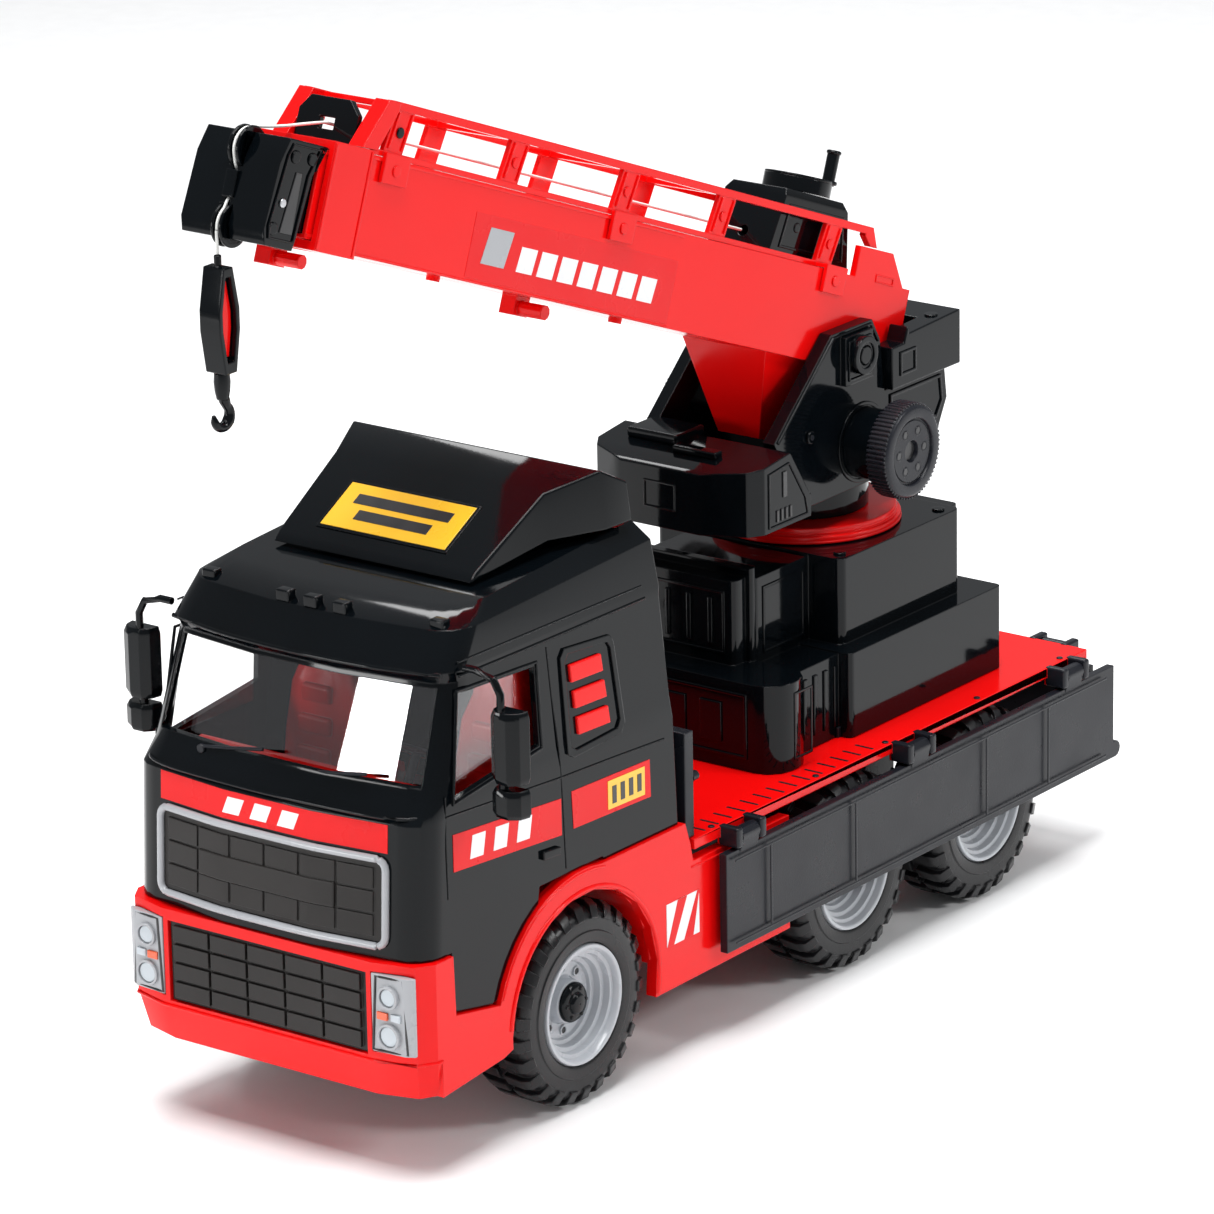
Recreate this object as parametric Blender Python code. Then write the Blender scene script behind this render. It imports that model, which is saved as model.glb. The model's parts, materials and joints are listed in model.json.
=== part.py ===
"""Toy crane truck: three-axle cab and flat bed, pedestal, turret, telescopic boom, winch and hook.

Lengths are in millimetres and angles in degrees until solid() makes a mesh, which is in metres.
The truck stands on z = 0 and faces -Y, and its left side is +X. The origin is the centre of the
footprint's box. The boom parts are drawn in the boom's own frame: X across, Y backwards along the
boom and Z square to it, with the origin on the boom's pivot.
"""

import math

import bmesh
import bpy
from mathutils import Vector

MM = 0.001
GAP = 0.35                       # between pieces that touch

# Wheels
WHEEL_RADIUS = 46.0
TYRE_WIDTH = 32.0
RIM_RADIUS = 27.3
AXLE_RADIUS = 2.0
AXLES = {"front": (-137.8, 65.5), "middle": (63.0, 68.3), "rear": (171.7, 68.3)}
SIDES = {"left": 1, "right": -1}
ARCH_RADIUS = 52.0
FENDER_RADIUS = 63.0

# Body
SKIRT_X = 82.0                   # half width over the red lower body
CAB_X = 80.0
CAB_REAR = -66.5
BELT_Z = 107.5                   # joint between the red lower body and the black cab
CAB_FLOOR = (99.5, 103.5)
GLASS_T = 1.2
SHELL_T = 3.0

# Load bed
BED_X = 81.6
BED_Y = (-57.0, 259.0)
BED_Z = (93.0, 98.0)
HINGE_Z = 93.3
BARREL_RADIUS = 4.0
BARREL_HALF = 6.5
EAR_WIDTH = 4.0
SIDE_HINGE_X = 87.0
TAIL_HINGE_Y = 264.4
SIDE_CLIPS = (-26.6, 107.1, 235.5)
TAIL_CLIPS = (-60.0, 60.0)
BOARD_T = 4.0
BOARD_Z = (41.3, 87.8)
BOARD_Y = (-43.4, 271.0)

# Turret
TURRET_Y = 143.0
PEDESTAL_TOP = 180.0
DISC_RADIUS = 45.0
TURRET_BASE = (203.0, 207.0)
CHEEK_X = (29.5, 36.0)
KNOB_AXIS = (138.5, 223.5)
KNOB_RADIUS = 22.6
KNOB_X = (53.0, 65.0)
PIVOT = (133.0, 267.1)
SHAFT_RADIUS = 4.0
PIN_RADIUS = 4.5
BORE_RADIUS = 4.8

# Boom, in its own frame
BOOM_ANGLE = 20.9
OUTER_X = 24.0
REAR_X = 28.8
OUTER_Z = (-8.0, 34.5)
COLLAR_Y = (-392.0, -365.0)      # thicker front end of the outer boom
COLLAR_Z = (-9.7, 36.2)
INNER_X = 21.6
INNER_Z = (-5.5, 32.0)
WALL = 1.8
POSTS = (-350.6, -267.6, -183.6, -108.0, -20.0)
PADS = ((0, OUTER_X), (2, OUTER_X), (4, REAR_X))
RAIL_X = (20.5, 24.0)
RAIL_Z = (55.0, 58.5)
SHEAVE_RADIUS = 8.0
UPPER_SHEAVE = (-417.6, 26.3)
LOWER_SHEAVE = (-418.6, -6.2)
WINCH_Y = -19.6
WINCH_TOP = 66.5
CORD_Z = 44.0
CORD_RADIUS = 0.7

# Hook, hanging plumb below the lower sheave
HOOK_Y = -268.7
HOOK_TOP = 399.0
BLOCK_Z = (350.0, 395.0)

PAINTS = {
    "red_plastic": ((0.78, 0.02, 0.015), 0.22, 0.0),
    "black_plastic": ((0.012, 0.014, 0.018), 0.15, 0.0),
    "satin_black": ((0.03, 0.031, 0.036), 0.45, 0.0),
    "grey_plastic": ((0.36, 0.37, 0.39), 0.35, 0.2),
    "tyre_black": ((0.016, 0.016, 0.017), 0.55, 0.0),
    "clear_plastic": ((0.85, 0.88, 0.9), 0.05, 0.0),
    "silver_print": ((0.62, 0.63, 0.65), 0.3, 0.4),
    "steel": ((0.55, 0.56, 0.58), 0.3, 1.0),
    "white_cord": ((0.86, 0.86, 0.84), 0.7, 0.0),
}


def clear_scene():
    for old in list(bpy.data.objects):
        bpy.data.objects.remove(old, do_unlink=True)


def paint(name):
    found = bpy.data.materials.get(name)
    if found:
        return found
    colour, roughness, metallic = PAINTS[name]
    made = bpy.data.materials.new(name)
    made.use_nodes = True
    shader = made.node_tree.nodes["Principled BSDF"]
    shader.inputs["Base Color"].default_value = (*colour, 1.0)
    shader.inputs["Roughness"].default_value = roughness
    shader.inputs["Metallic"].default_value = metallic
    made.diffuse_color = (*colour, 1.0)
    return made


# ---------------------------------------------------------------- solids

def solid(points, faces):
    """A closed mesh from millimetre points, with its faces turned outwards."""
    mesh = bpy.data.meshes.new("solid")
    mesh.from_pydata([Vector(p) * MM for p in points], [], faces)
    work = bmesh.new()
    work.from_mesh(mesh)
    bmesh.ops.recalc_face_normals(work, faces=work.faces)
    work.to_mesh(mesh)
    work.free()
    made = bpy.data.objects.new("solid", mesh)
    bpy.context.scene.collection.objects.link(made)
    return made


def loft(rings):
    """A closed solid through rings of the same number of points."""
    count = len(rings[0])
    points = [p for ring in rings for p in ring]
    faces = [list(range(count))[::-1], list(range(len(points) - count, len(points)))]
    for r in range(len(rings) - 1):
        for i in range(count):
            j = (i + 1) % count
            faces.append([r * count + i, r * count + j, (r + 1) * count + j, (r + 1) * count + i])
    return solid(points, faces)


def on_axis(axis, a, b, depth):
    """The 3-D point of a flat outline's point (a, b) at a depth along axis."""
    return {"x": (depth, a, b), "y": (a, depth, b), "z": (a, b, depth)}[axis]


def prism(axis, outline, low, high):
    """An outline pulled along one axis: (y, z) along x, (x, z) along y, (x, y) along z."""
    return loft([[on_axis(axis, a, b, depth) for a, b in outline] for depth in (low, high)])


def box(low, high):
    outline = [(low[0], low[1]), (high[0], low[1]), (high[0], high[1]), (low[0], high[1])]
    return prism("z", outline, low[2], high[2])


def span(sign, inner, outer):
    """The low and high x of a piece on one side, from its distances to the middle."""
    return sorted((sign * inner, sign * outer))


def side_box(sign, x, y, z):
    """A box on one side; x, y and z are (nearer, farther) or (low, high) pairs."""
    low, high = span(sign, *x)
    return box((low, y[0], z[0]), (high, y[1], z[1]))


def arc(centre, radius, start, end, steps):
    """Points on a circle, both ends included."""
    turns = [math.radians(start + (end - start) * i / steps) for i in range(steps + 1)]
    return [(centre[0] + radius * math.cos(t), centre[1] + radius * math.sin(t)) for t in turns]


def disc(axis, centre, radius, low, high, sides=20):
    return prism(axis, arc(centre, radius, 0, 360 - 360 / sides, sides - 1), low, high)


def turned(profile, sides, side=1):
    """A closed ring: (radius, x) points spun about the X axis."""
    rings = []
    for i in range(sides):
        turn = 2 * math.pi * i / sides
        rings.append([(side * x, r * math.cos(turn), r * math.sin(turn)) for r, x in profile])
    count = len(profile)
    points = [p for ring in rings for p in ring]
    faces = []
    for i in range(sides):
        k = (i + 1) % sides
        for j in range(count):
            n = (j + 1) % count
            faces.append([i * count + j, i * count + n, k * count + n, k * count + j])
    return solid(points, faces)


def rod(path, radius, sides=8):
    """A round bar through a list of points, with flat ends."""
    rings = []
    side_way = Vector((1, 0, 0))
    for i, point in enumerate(path):
        ahead = Vector(path[min(i + 1, len(path) - 1)]) - Vector(path[max(i - 1, 0)])
        ahead.normalize()
        across = side_way - ahead * side_way.dot(ahead)
        if across.length < 0.2:
            across = Vector((0, 1, 0)) - ahead * ahead.y
        across.normalize()
        up = ahead.cross(across)
        turns = [2 * math.pi * k / sides for k in range(sides)]
        ring = [across * math.cos(t) + up * math.sin(t) for t in turns]
        rings.append([Vector(point) + radius * way for way in ring])
    return loft(rings)


def mirrored(outline):
    """An outline given for +x only, completed on the -x side."""
    return outline + [(-x, y) for x, y in reversed(outline)]


def combine(base, adds=(), cuts=()):
    """One solid: the base with the adds joined on and the cuts taken out."""
    tools = [(tool, "UNION") for tool in adds] + [(tool, "DIFFERENCE") for tool in cuts]
    for tool, operation in tools:
        change = base.modifiers.new(operation, "BOOLEAN")
        change.operation = operation
        change.object = tool
        change.solver = "EXACT"
    bpy.context.view_layer.update()
    mesh = bpy.data.meshes.new_from_object(base.evaluated_get(bpy.context.evaluated_depsgraph_get()))
    base.modifiers.clear()
    base.data = mesh
    for tool, _ in tools:
        bpy.data.objects.remove(tool, do_unlink=True)
    return base


def part(name, made, colour, parent=None, at=(0, 0, 0)):
    """Names a finished solid, paints it and puts it in its place."""
    made.name = name
    made.data.name = name
    made.data.materials.clear()
    made.data.materials.append(paint(colour))
    made.data.shade_smooth()
    made.data.set_sharp_from_angle(angle=math.radians(35))
    made.location = Vector(at) * MM
    made.parent = parent
    return made


def empty(name, at, tilt=0.0):
    made = bpy.data.objects.new(name, None)
    made.location = Vector(at) * MM
    made.rotation_euler = (math.radians(tilt), 0, 0)
    bpy.context.scene.collection.objects.link(made)
    return made


# ---------------------------------------------------------------- wheels and chassis

def tyre_profile():
    half = TYRE_WIDTH / 2
    side = [(RIM_RADIUS + 0.4, half - 1.5), (36.0, half), (42.0, half), (45.0, half - 2.5)]
    crown = [(WHEEL_RADIUS, half - 8.0)]
    hollow = [(42.0, half - 4.0), (RIM_RADIUS + 0.4, half - 4.0)]
    right = side + crown
    return right + [(r, -x) for r, x in reversed(right)] + [(r, -x) for r, x in reversed(hollow)] + hollow


def rim_profile():
    """A deep dish: barrel, stepped web and hub with a hole for the axle."""
    bore = AXLE_RADIUS + 0.35
    half = TYRE_WIDTH / 2
    face = [(bore, 8.0), (9.5, 8.0), (9.5, 2.0), (19.0, 2.0), (24.5, half - 2.0)]
    back = [(RIM_RADIUS, half - 1.5), (RIM_RADIUS, 2.5 - half), (24.5, 2.5 - half), (19.0, -2.0),
            (bore, -2.0)]
    return face + back


def wheels():
    for name, (y, centre_x) in AXLES.items():
        hub = empty(name + "_wheel_axis", (0, y, WHEEL_RADIUS))
        reach = centre_x + 6.0
        part(name + "_axle", disc("x", (0, 0), AXLE_RADIUS, -reach, reach, 12), "steel", hub)
        for side, sign in SIDES.items():
            place = (sign * centre_x, 0, 0)
            part(f"tyre_{name}_{side}", turned(tyre_profile(), 20, sign), "tyre_black", hub, place)
            part(f"rim_{name}_{side}", turned(rim_profile(), 20, sign), "grey_plastic", hub, place)


def chassis():
    """A hollow beam, open on top, with a bearing block under it at each axle."""
    block_half, beam_x, beam_low, block_low = 12.0, 22.0, 58.0, 38.0
    outline = [(-222.0, CAB_FLOOR[0] - GAP), (-222.0, beam_low)]
    for y, _ in AXLES.values():
        outline += [(y - block_half, beam_low), (y - block_half, block_low),
                    (y + block_half, block_low), (y + block_half, beam_low)]
    outline += [(250.0, beam_low), (250.0, BED_Z[0] - GAP), (CAB_REAR - 5.0, BED_Z[0] - GAP),
                (CAB_REAR - 5.0, CAB_FLOOR[0] - GAP)]
    bores = [disc("x", (y, WHEEL_RADIUS), AXLE_RADIUS + 0.4, -30, 30, 12) for y, _ in AXLES.values()]
    trough = box((SHELL_T - beam_x, -219.0, beam_low + SHELL_T), (beam_x - SHELL_T, 247.0, 120.0))
    beam = prism("x", outline, -beam_x, beam_x)
    part("chassis_frame", combine(beam, cuts=bores + [trough]), "satin_black")


# ---------------------------------------------------------------- lower body and cab

def fender_line(radius, start, end, steps=10):
    return arc((AXLES["front"][0], WHEEL_RADIUS), radius, start, end, steps)


def side_panel(sign):
    """The red side: bumper end, fender round the front wheel and skirt behind it."""
    outline = [(-238.0, 37.0), (-196.0, 41.0), (-189.5, 43.0)]
    outline += fender_line(ARCH_RADIUS, 178, -14)
    outline += [(14.0, 34.0), (14.0, 88.0), (-58.5, 88.5), (-60.5, 97.0), (-64.0, BELT_Z)]
    outline += fender_line(FENDER_RADIUS, 78, 162)
    outline += [(-200.0, 66.0), (-228.0, 71.0), (-229.0, 98.0), (-238.0, 98.0)]
    return prism("x", outline, *span(sign, 76.5, SKIRT_X))


def bumper():
    """The curved front bumper, deepest at its middle."""
    outline = mirrored([(SKIRT_X, -236.0), (SKIRT_X, -241.0), (77.0, -249.0), (58.0, -254.0)])
    lower = [(x * 0.965, y + 4.0, 37.0) for x, y in outline]
    middle = [(x, y, 55.0) for x, y in outline]
    upper = [(x, y, 98.0) for x, y in outline]
    return loft([lower, middle, upper])


def wheel_housing(sign):
    """The half drum behind a front fender."""
    outline = fender_line(ARCH_RADIUS, 178, 2) + fender_line(ARCH_RADIUS + 1.4, 2, 178)
    return prism("x", outline, *span(sign, 45.0, 78.0))


def lower_body():
    plan = mirrored([(76.4, CAB_REAR - 4.0), (76.4, -228.0), (62.0, -240.0)])
    floor = prism("z", plan, *CAB_FLOOR)
    adds = [bumper()]
    for sign in SIDES.values():
        tab = side_box(sign, (70.0, 78.0), (-158.0, CAB_REAR - 4.0), CAB_FLOOR)
        adds += [side_panel(sign), wheel_housing(sign), tab]
    grille_recess = box((-54.5, -260.0, 56.0), (54.5, -250.6, 93.0))
    lamp_recesses = [box(low, high) for low, high in (
        ((57.0, -262.0, 58.0), (78.5, -249.0, 94.0)), ((-78.5, -262.0, 58.0), (-57.0, -249.0, 94.0)))]
    made = combine(floor, adds, [grille_recess] + lamp_recesses)
    part("lower_body", made, "red_plastic")


def cab_ring(half_x, front, rear, z, front_round, bow=0.0, lean=0.0):
    """One level of the cab: rounded front corners, a bowed front and a flat back."""
    corner = arc((half_x - front_round, front + front_round), front_round, 0, -90, 4)
    half = [(half_x, rear)] + corner + [(half_x * 0.3, front - bow)]
    ring = mirrored(half)
    return [(x, y, z + lean * (y - front) / (rear - front)) for x, y in ring]


def cab_levels(inset=0.0):
    """The cab's outer surface level by level, or the surface inset from it."""
    levels = [
        (CAB_X, -248.0, CAB_REAR, BELT_Z - 9.0, 14.0, 5.0, 0.0),
        (CAB_X, -245.0, CAB_REAR - 3.0, 158.0, 14.0, 5.0, 0.0),
        (79.0, -237.0, CAB_REAR - 4.0, 168.0, 14.0, 5.0, 0.0),
        (76.5, -222.0, CAB_REAR - 7.0, 214.0, 15.0, 5.0, 0.0),
        (77.0, -225.0, CAB_REAR - 7.5, 219.0, 15.0, 5.0, 0.0),
        (74.0, -213.0, CAB_REAR - 9.0, 234.0, 16.0, 4.0, 6.0),
        (66.0, -196.0, CAB_REAR - 12.0, 240.0, 16.0, 3.0, 8.0),
    ]
    return [cab_ring(x - inset, front + inset, rear - inset, z - max(0, inset - 1) * (z > 230),
                     corner, bow, lean) for x, front, rear, z, corner, bow, lean in levels]


def step_panels():
    """The black panels below each door, in front of the wheel."""
    outline = [(-227.5, 72.0), (-201.0, 67.0)] + fender_line(FENDER_RADIUS + 0.6, 160, 118, 5)
    outline += [(-166.0, 112.0), (-227.5, 112.0)]
    return [prism("x", outline, *span(sign, 76.9, CAB_X)) for sign in SIDES.values()]


def cab_shell():
    outer = loft(cab_levels())
    cavity = cab_levels(SHELL_T)
    cavity[0] = [(x, y, BELT_Z - 20.0) for x, y, _ in cavity[0]]
    screen = loft([[(x, y, z) for x, z in [(-s, 172.0), (s, 172.0), (t, 212.0), (-t, 212.0)]]
                   for y, s, t in ((-262.0, 71.0, 69.5), (-205.0, 71.0, 69.5))])
    door_window = [(-222.0, 165.0), (-163.0, 172.0), (-163.0, 207.0), (-215.0, 209.5)]
    windows = [prism("x", door_window, *span(sign, 60.0, 90.0)) for sign in SIDES.values()]
    grille = box((-63.0, -262.0, 102.0), (63.0, -250.6, 143.6))
    seam = BELT_Z + GAP
    floor_step = [(-238.0, 90.0), (CAB_REAR + 4, 90.0), (CAB_REAR + 4, seam), (-120.0, seam),
                  (-122.0, 109.5), (-175.0, 109.5), (-175.0, 98.6), (-238.0, 98.6)]
    trims = [prism("x", floor_step, *span(sign, 70.0, 92.0)) for sign in SIDES.values()]
    front_trim = box((-90.0, -262.0, 90.0), (90.0, -228.0, 98.6))
    made = combine(outer, cuts=[loft(cavity), screen, grille, front_trim] + windows + trims)
    part("cab_shell", combine(made, adds=step_panels()), "black_plastic")


def roof_deflector():
    """The wind deflector on the roof, a wedge that widens backwards."""
    base = 250.0
    front = [(-54.0, -176.0, 243.0), (54.0, -176.0, 243.0), (54.0, -172.0, 247.0), (-54.0, -172.0, 247.0)]
    ridge = [(-59.0, -128.0, base), (59.0, -128.0, base), (57.0, -128.0, 271.0), (-57.0, -128.0, 271.0)]
    back = [(-70.0, -102.0, base), (70.0, -102.0, base), (68.0, -102.0, 276.5), (-68.0, -102.0, 276.5)]
    tail = [(-71.0, -84.0, base), (71.0, -84.0, base), (70.0, -86.0, 268.0), (-70.0, -86.0, 268.0)]
    hollow = prism("x", [(-162.0, 230.0), (-162.0, 247.0), (-128.0, 266.5), (-92.0, 268.0), (-92.0, 230.0)],
                   -50.0, 50.0)
    part("roof_deflector", combine(loft([front, ridge, back, tail]), cuts=[hollow]), "black_plastic")


def cab_glazing():
    """One clear insert behind the windscreen and both door windows."""
    def ring(inset, z, rear):
        lean = (z - 212.0) * 0.36
        half = [(72.4 - inset, rear), (72.4 - inset, -204.0 + lean), (66.0 - inset, -212.0 + lean + inset),
                (52.0 - inset, -217.0 + lean + inset)]
        return [(x, y, z) for x, y in mirrored(half)]

    levels = [ring(0.0, z, -172.0) for z in (166.0, 214.0)]
    inner = [ring(GLASS_T, z, -160.0) for z in (160.0, 221.0)]
    part("cab_glazing", combine(loft(levels), cuts=[loft(inner)]), "clear_plastic")


def grilles():
    upper = box((-62.6, -252.9, 102.4), (62.6, -251.0, 143.2))
    recess = box((-56.0, -254.0, 108.0), (56.0, -252.1, 137.5))
    part("upper_grille", combine(upper, cuts=[recess]), "silver_print")
    plate = box((-54.0, -252.6, 56.4), (54.0, -251.0, 92.6))
    bars = []
    for row in range(4):
        low = 58.2 + 8.6 * row
        for column in range(5):
            left = -51.5 + 20.8 * column
            bars.append(box((left, -254.4, low), (left + 19.4, -252.0, low + 7.2)))
    part("lower_grille", combine(plate, adds=bars), "satin_black")


def headlamps():
    for side, sign in SIDES.items():
        lens = [(57.5, -249.4), (78.0, -249.4), (78.0, -251.0), (74.0, -253.2), (57.5, -254.4)]
        outline = [(sign * x, y) for x, y in lens]
        part(f"headlamp_{side}", prism("z", outline, 58.4, 93.6), "silver_print")


def cab_interior():
    for side, sign in SIDES.items():
        cushion = box((sign * 34 - 17, -168.0, CAB_FLOOR[1] + GAP), (sign * 34 + 17, -118.0, 128.0))
        corners = ((-1, -130), (1, -130), (1, -118), (-1, -118))
        rows = ((120, 17, 0), (170, 16, 8), (196, 11, 12), (204, 8, 13))
        back = loft([[(sign * 34 + x * w, y + lean, z) for x, y in corners] for z, w, lean in rows])
        part(f"seat_{side}", combine(cushion, adds=[back]), "red_plastic")
    dash = [(-232.0, 148.0), (-206.0, 148.0), (-204.0, 158.0), (-214.0, 164.0), (-230.0, 162.0)]
    post = box((-6.0, -222.0, CAB_FLOOR[1] + GAP), (6.0, -210.0, 152.0))
    cowl = box((28.0, -208.0, 146.0), (40.0, -192.0, 150.8))
    part("dashboard", combine(prism("x", dash, -66.0, 66.0), adds=[post, cowl]), "red_plastic")
    wheel = turned([(13.0, 0.0), (15.0, 1.2), (17.0, 0.0), (15.0, -1.2)], 20)
    hub = disc("x", (0, 0), 4.0, -1.5, 1.5, 12)
    column = disc("x", (0, 0), 2.2, -18.0, 1.0, 10)
    spokes = [box((-1.0, -14.5, -1.8), (1.0, 14.5, 1.8)), box((-1.0, -1.8, -14.5), (1.0, 1.8, 14.5))]
    wheel = combine(wheel, adds=[hub, column] + spokes)
    made = part("steering_wheel", wheel, "satin_black", at=(34.0, -190.0, 168.0))
    made.rotation_euler = (0, math.radians(-60), math.radians(90))


def mirrors():
    for side, sign in SIDES.items():
        arm = rod([(sign * x, y, z) for x, y, z in (
            (79.5, -214.0, 221.5), (86.0, -214.0, 221.5), (95.0, -214.0, 219.0), (98.5, -214.0, 213.0),
            (98.5, -214.0, 200.0))], 1.8)
        large = loft([[(sign * x, y, z) for x, y in mirror_outline(grow)]
                      for z, grow in ((174.0, -1.0), (177.0, 0.0), (203.0, 0.0), (206.0, -1.0))])
        small = loft([[(sign * x, y, z) for x, y in mirror_outline(grow)]
                      for z, grow in ((159.0, -1.0), (161.0, 0.0), (169.0, 0.0), (171.5, -1.0))])
        stem = rod([(sign * 98.5, -213.0, 168.0), (sign * 98.5, -213.0, 178.0)], 2.2)
        part(f"mirror_{side}", combine(arm, adds=[large, small, stem]), "black_plastic")


def mirror_outline(grow):
    """A mirror housing seen from above: rounded in front and flat behind."""
    return [(92.0 - grow, -208.0), (109.0 + grow, -208.0), (108.0 + grow, -214.0 - grow),
            (103.0, -217.0 - grow), (97.0, -217.0 - grow), (93.0 - grow, -214.0 - grow)]


# ---------------------------------------------------------------- load bed

def hinge_ear(centre, reach, low, high, axis):
    """A bed's hinge ear: a rounded tongue from the bed's edge to the hinge line."""
    outline = arc((centre, HINGE_Z), BARREL_RADIUS, -90, 90, 5)
    outline += [(reach, HINGE_Z + BARREL_RADIUS), (reach, HINGE_Z - BARREL_RADIUS)]
    return prism(axis, outline, low, high)


def bed_platform():
    plate = box((-BED_X, BED_Y[0], BED_Z[0]), (BED_X, BED_Y[1], BED_Z[1]))
    ears = []
    offsets = (-BARREL_HALF - GAP - EAR_WIDTH, BARREL_HALF + GAP)
    for clip in SIDE_CLIPS:
        for low in (clip + offset for offset in offsets):
            ear = hinge_ear(SIDE_HINGE_X, BED_X - 2.0, low, low + EAR_WIDTH, "y")
            twin = hinge_ear(SIDE_HINGE_X, BED_X - 2.0, low, low + EAR_WIDTH, "y")
            twin.data.transform(((-1, 0, 0, 0), (0, 1, 0, 0), (0, 0, 1, 0), (0, 0, 0, 1)))
            twin.data.flip_normals()
            ears += [ear, twin]
    for clip in TAIL_CLIPS:
        for low in (clip + offset for offset in offsets):
            ears.append(hinge_ear(TAIL_HINGE_Y, BED_Y[1] - 2.0, low, low + EAR_WIDTH, "x"))
    part("bed_platform", combine(plate, adds=ears), "red_plastic")


def board(length_low, length_high, clips, lug=0.0):
    """A drop board hanging from its hinge line, drawn with the hinge at the origin.

    Its length runs along Y, and its outside faces +X.
    """
    half = BOARD_T / 2
    low, high = BOARD_Z[0] - HINGE_Z, BOARD_Z[1] - HINGE_Z
    plate = box((-half, length_low, low), (half, length_high, high))
    adds = []
    for clip in clips:
        tongue = arc((0, 0), BARREL_RADIUS, 0, 180, 6) + [(-half, high - 2.0), (half, high - 2.0)]
        adds.append(prism("y", tongue, clip - BARREL_HALF, clip + BARREL_HALF))
    if lug:
        adds.append(disc("x", (length_high + 2.0, low + 4.0), 4.0, -half, half, 12))
        adds.append(box((-half, length_high - 4.0, low), (half, length_high + 2.0, low + 8.0)))
    return combine(plate, adds=adds)


def boards():
    for side, sign in SIDES.items():
        made = board(BOARD_Y[0], BOARD_Y[1], SIDE_CLIPS, lug=1.0)
        part(f"side_board_{side}", made, "satin_black", at=(sign * SIDE_HINGE_X, 0, HINGE_Z))
    tail = board(-BED_X + 1.2, BED_X - 1.2, TAIL_CLIPS)
    part("tail_board", tail, "satin_black", at=(0, TAIL_HINGE_Y, HINGE_Z))
    tail.rotation_euler = (0, 0, math.radians(90))


def headboard():
    """The panel behind the cab, with a latch peg at each end for the side boards."""
    front, rear, foot, top = -60.5, -54.0, BED_Z[1] + GAP, 147.5
    frame = box((-79.5, front, foot), (79.5, rear, top))
    panel = box((-73.0, rear - 2.5, foot + 6.0), (73.0, rear + 5.0, top - 5.0))
    pegs = [disc("y", (sign * 77.0, 125.0), 2.3, rear - 1.0, rear + 5.0, 10) for sign in SIDES.values()]
    part("headboard", combine(frame, adds=pegs, cuts=[panel]), "satin_black")


# ---------------------------------------------------------------- pedestal and turret

def rounded_rectangle(half_x, low, high, radius, steps=3):
    """An outline about x = 0 with four round corners."""
    half = arc((half_x - radius, low + radius), radius, -90, 0, steps)
    half += arc((half_x - radius, high - radius), radius, 0, 90, steps)
    return mirrored(half)


def pedestal():
    """The stepped tower: (half width, front, rear, foot, top, corner radius) of each block."""
    foot = BED_Z[1] + GAP
    blocks = [
        (63.0, 90.0, 214.0, foot, 139.0, 3.0),
        (66.0, 27.0, 57.0, foot, 140.0, 13.0),
        (56.0, 48.0, 98.0, foot, 138.0, 3.0),
        (31.0, 44.0, 56.0, 130.0, 180.0, 4.0),
        (34.0, 53.0, 58.0, 130.0, 184.5, 2.0),
        (34.0, 56.5, 104.0, 130.0, 179.0, 2.0),
        (52.5, 98.0, 195.0, 130.0, PEDESTAL_TOP, 4.0),
        (46.0, 190.0, 203.0, 130.0, PEDESTAL_TOP - 1.0, 3.0),
    ]
    solids = [prism("z", rounded_rectangle(half, front, rear, corner), low, high)
              for half, front, rear, low, high, corner in blocks]
    rooms = [box((-half, front, foot - 5), (half, rear, high)) for half, front, rear, high in (
        (60.0, 93.0, 211.0, 136.0), (49.5, 101.0, 192.0, PEDESTAL_TOP - 3), (53.0, 31.0, 97.0, 134.5),
        (28.0, 60.0, 105.0, 176.0))]
    made = combine(solids[0], solids[1:], rooms)
    part("pedestal", made, "black_plastic")


def turntable():
    centre = (0.0, 0.0)
    lower = disc("z", centre, DISC_RADIUS, PEDESTAL_TOP + GAP, 184.0, 40)
    upper = disc("z", centre, DISC_RADIUS - 2.0, 183.0, 187.5, 40)
    part("turntable", combine(lower, adds=[upper]), "red_plastic", at=(0, TURRET_Y, 0))


def cheek(sign):
    """One side plate of the turret, with the knob's boss and the pivot's block."""
    inner, outer = CHEEK_X
    foot, crown, ledge = TURRET_BASE[0], 279.8, 243.5
    plate = [(83.8, foot), (83.8, 215.6), (69.6, 239.2), (115.3, crown), (147.2, crown), (153.5, 269.0),
             (157.0, ledge), (206.0, ledge), (208.0, 228.0), (202.0, 217.0), (196.0, foot)]
    block_y = (PIVOT[0] - 11, PIVOT[0] + 11)
    block_z = (PIVOT[1] - 13, PIVOT[1] + 10)
    return [
        prism("x", plate, *span(sign, inner, outer)),
        disc("x", KNOB_AXIS, 16.5, *span(sign, outer - 1, KNOB_X[0] - 1.5), 24),
        side_box(sign, (outer - 1, outer + 3), block_y, block_z),
        disc("x", PIVOT, 9.0, *span(sign, outer + 2, outer + 6.5), 20),
    ]


def turret_frame():
    """The neck, the base plate and the two cheek plates that carry the boom's pivot."""
    neck = disc("z", (0.0, TURRET_Y), 30.0, 187.5 + GAP, TURRET_BASE[0] + 1, 24)
    base = box((-CHEEK_X[1], 83.8, TURRET_BASE[0]), (CHEEK_X[1], 196.0, TURRET_BASE[1]))
    shelf = box((-30.0, 52.0, 199.5), (30.0, 118.0, TURRET_BASE[0] + 0.6))
    adds = [base, shelf]
    for sign in SIDES.values():
        adds += cheek(sign)
    cuts = [disc("x", PIVOT, BORE_RADIUS, -50, 50, 16),
            disc("x", KNOB_AXIS, SHAFT_RADIUS + GAP, -60, 60, 16)]
    part("turret_frame", combine(neck, adds, cuts), "black_plastic")


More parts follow.
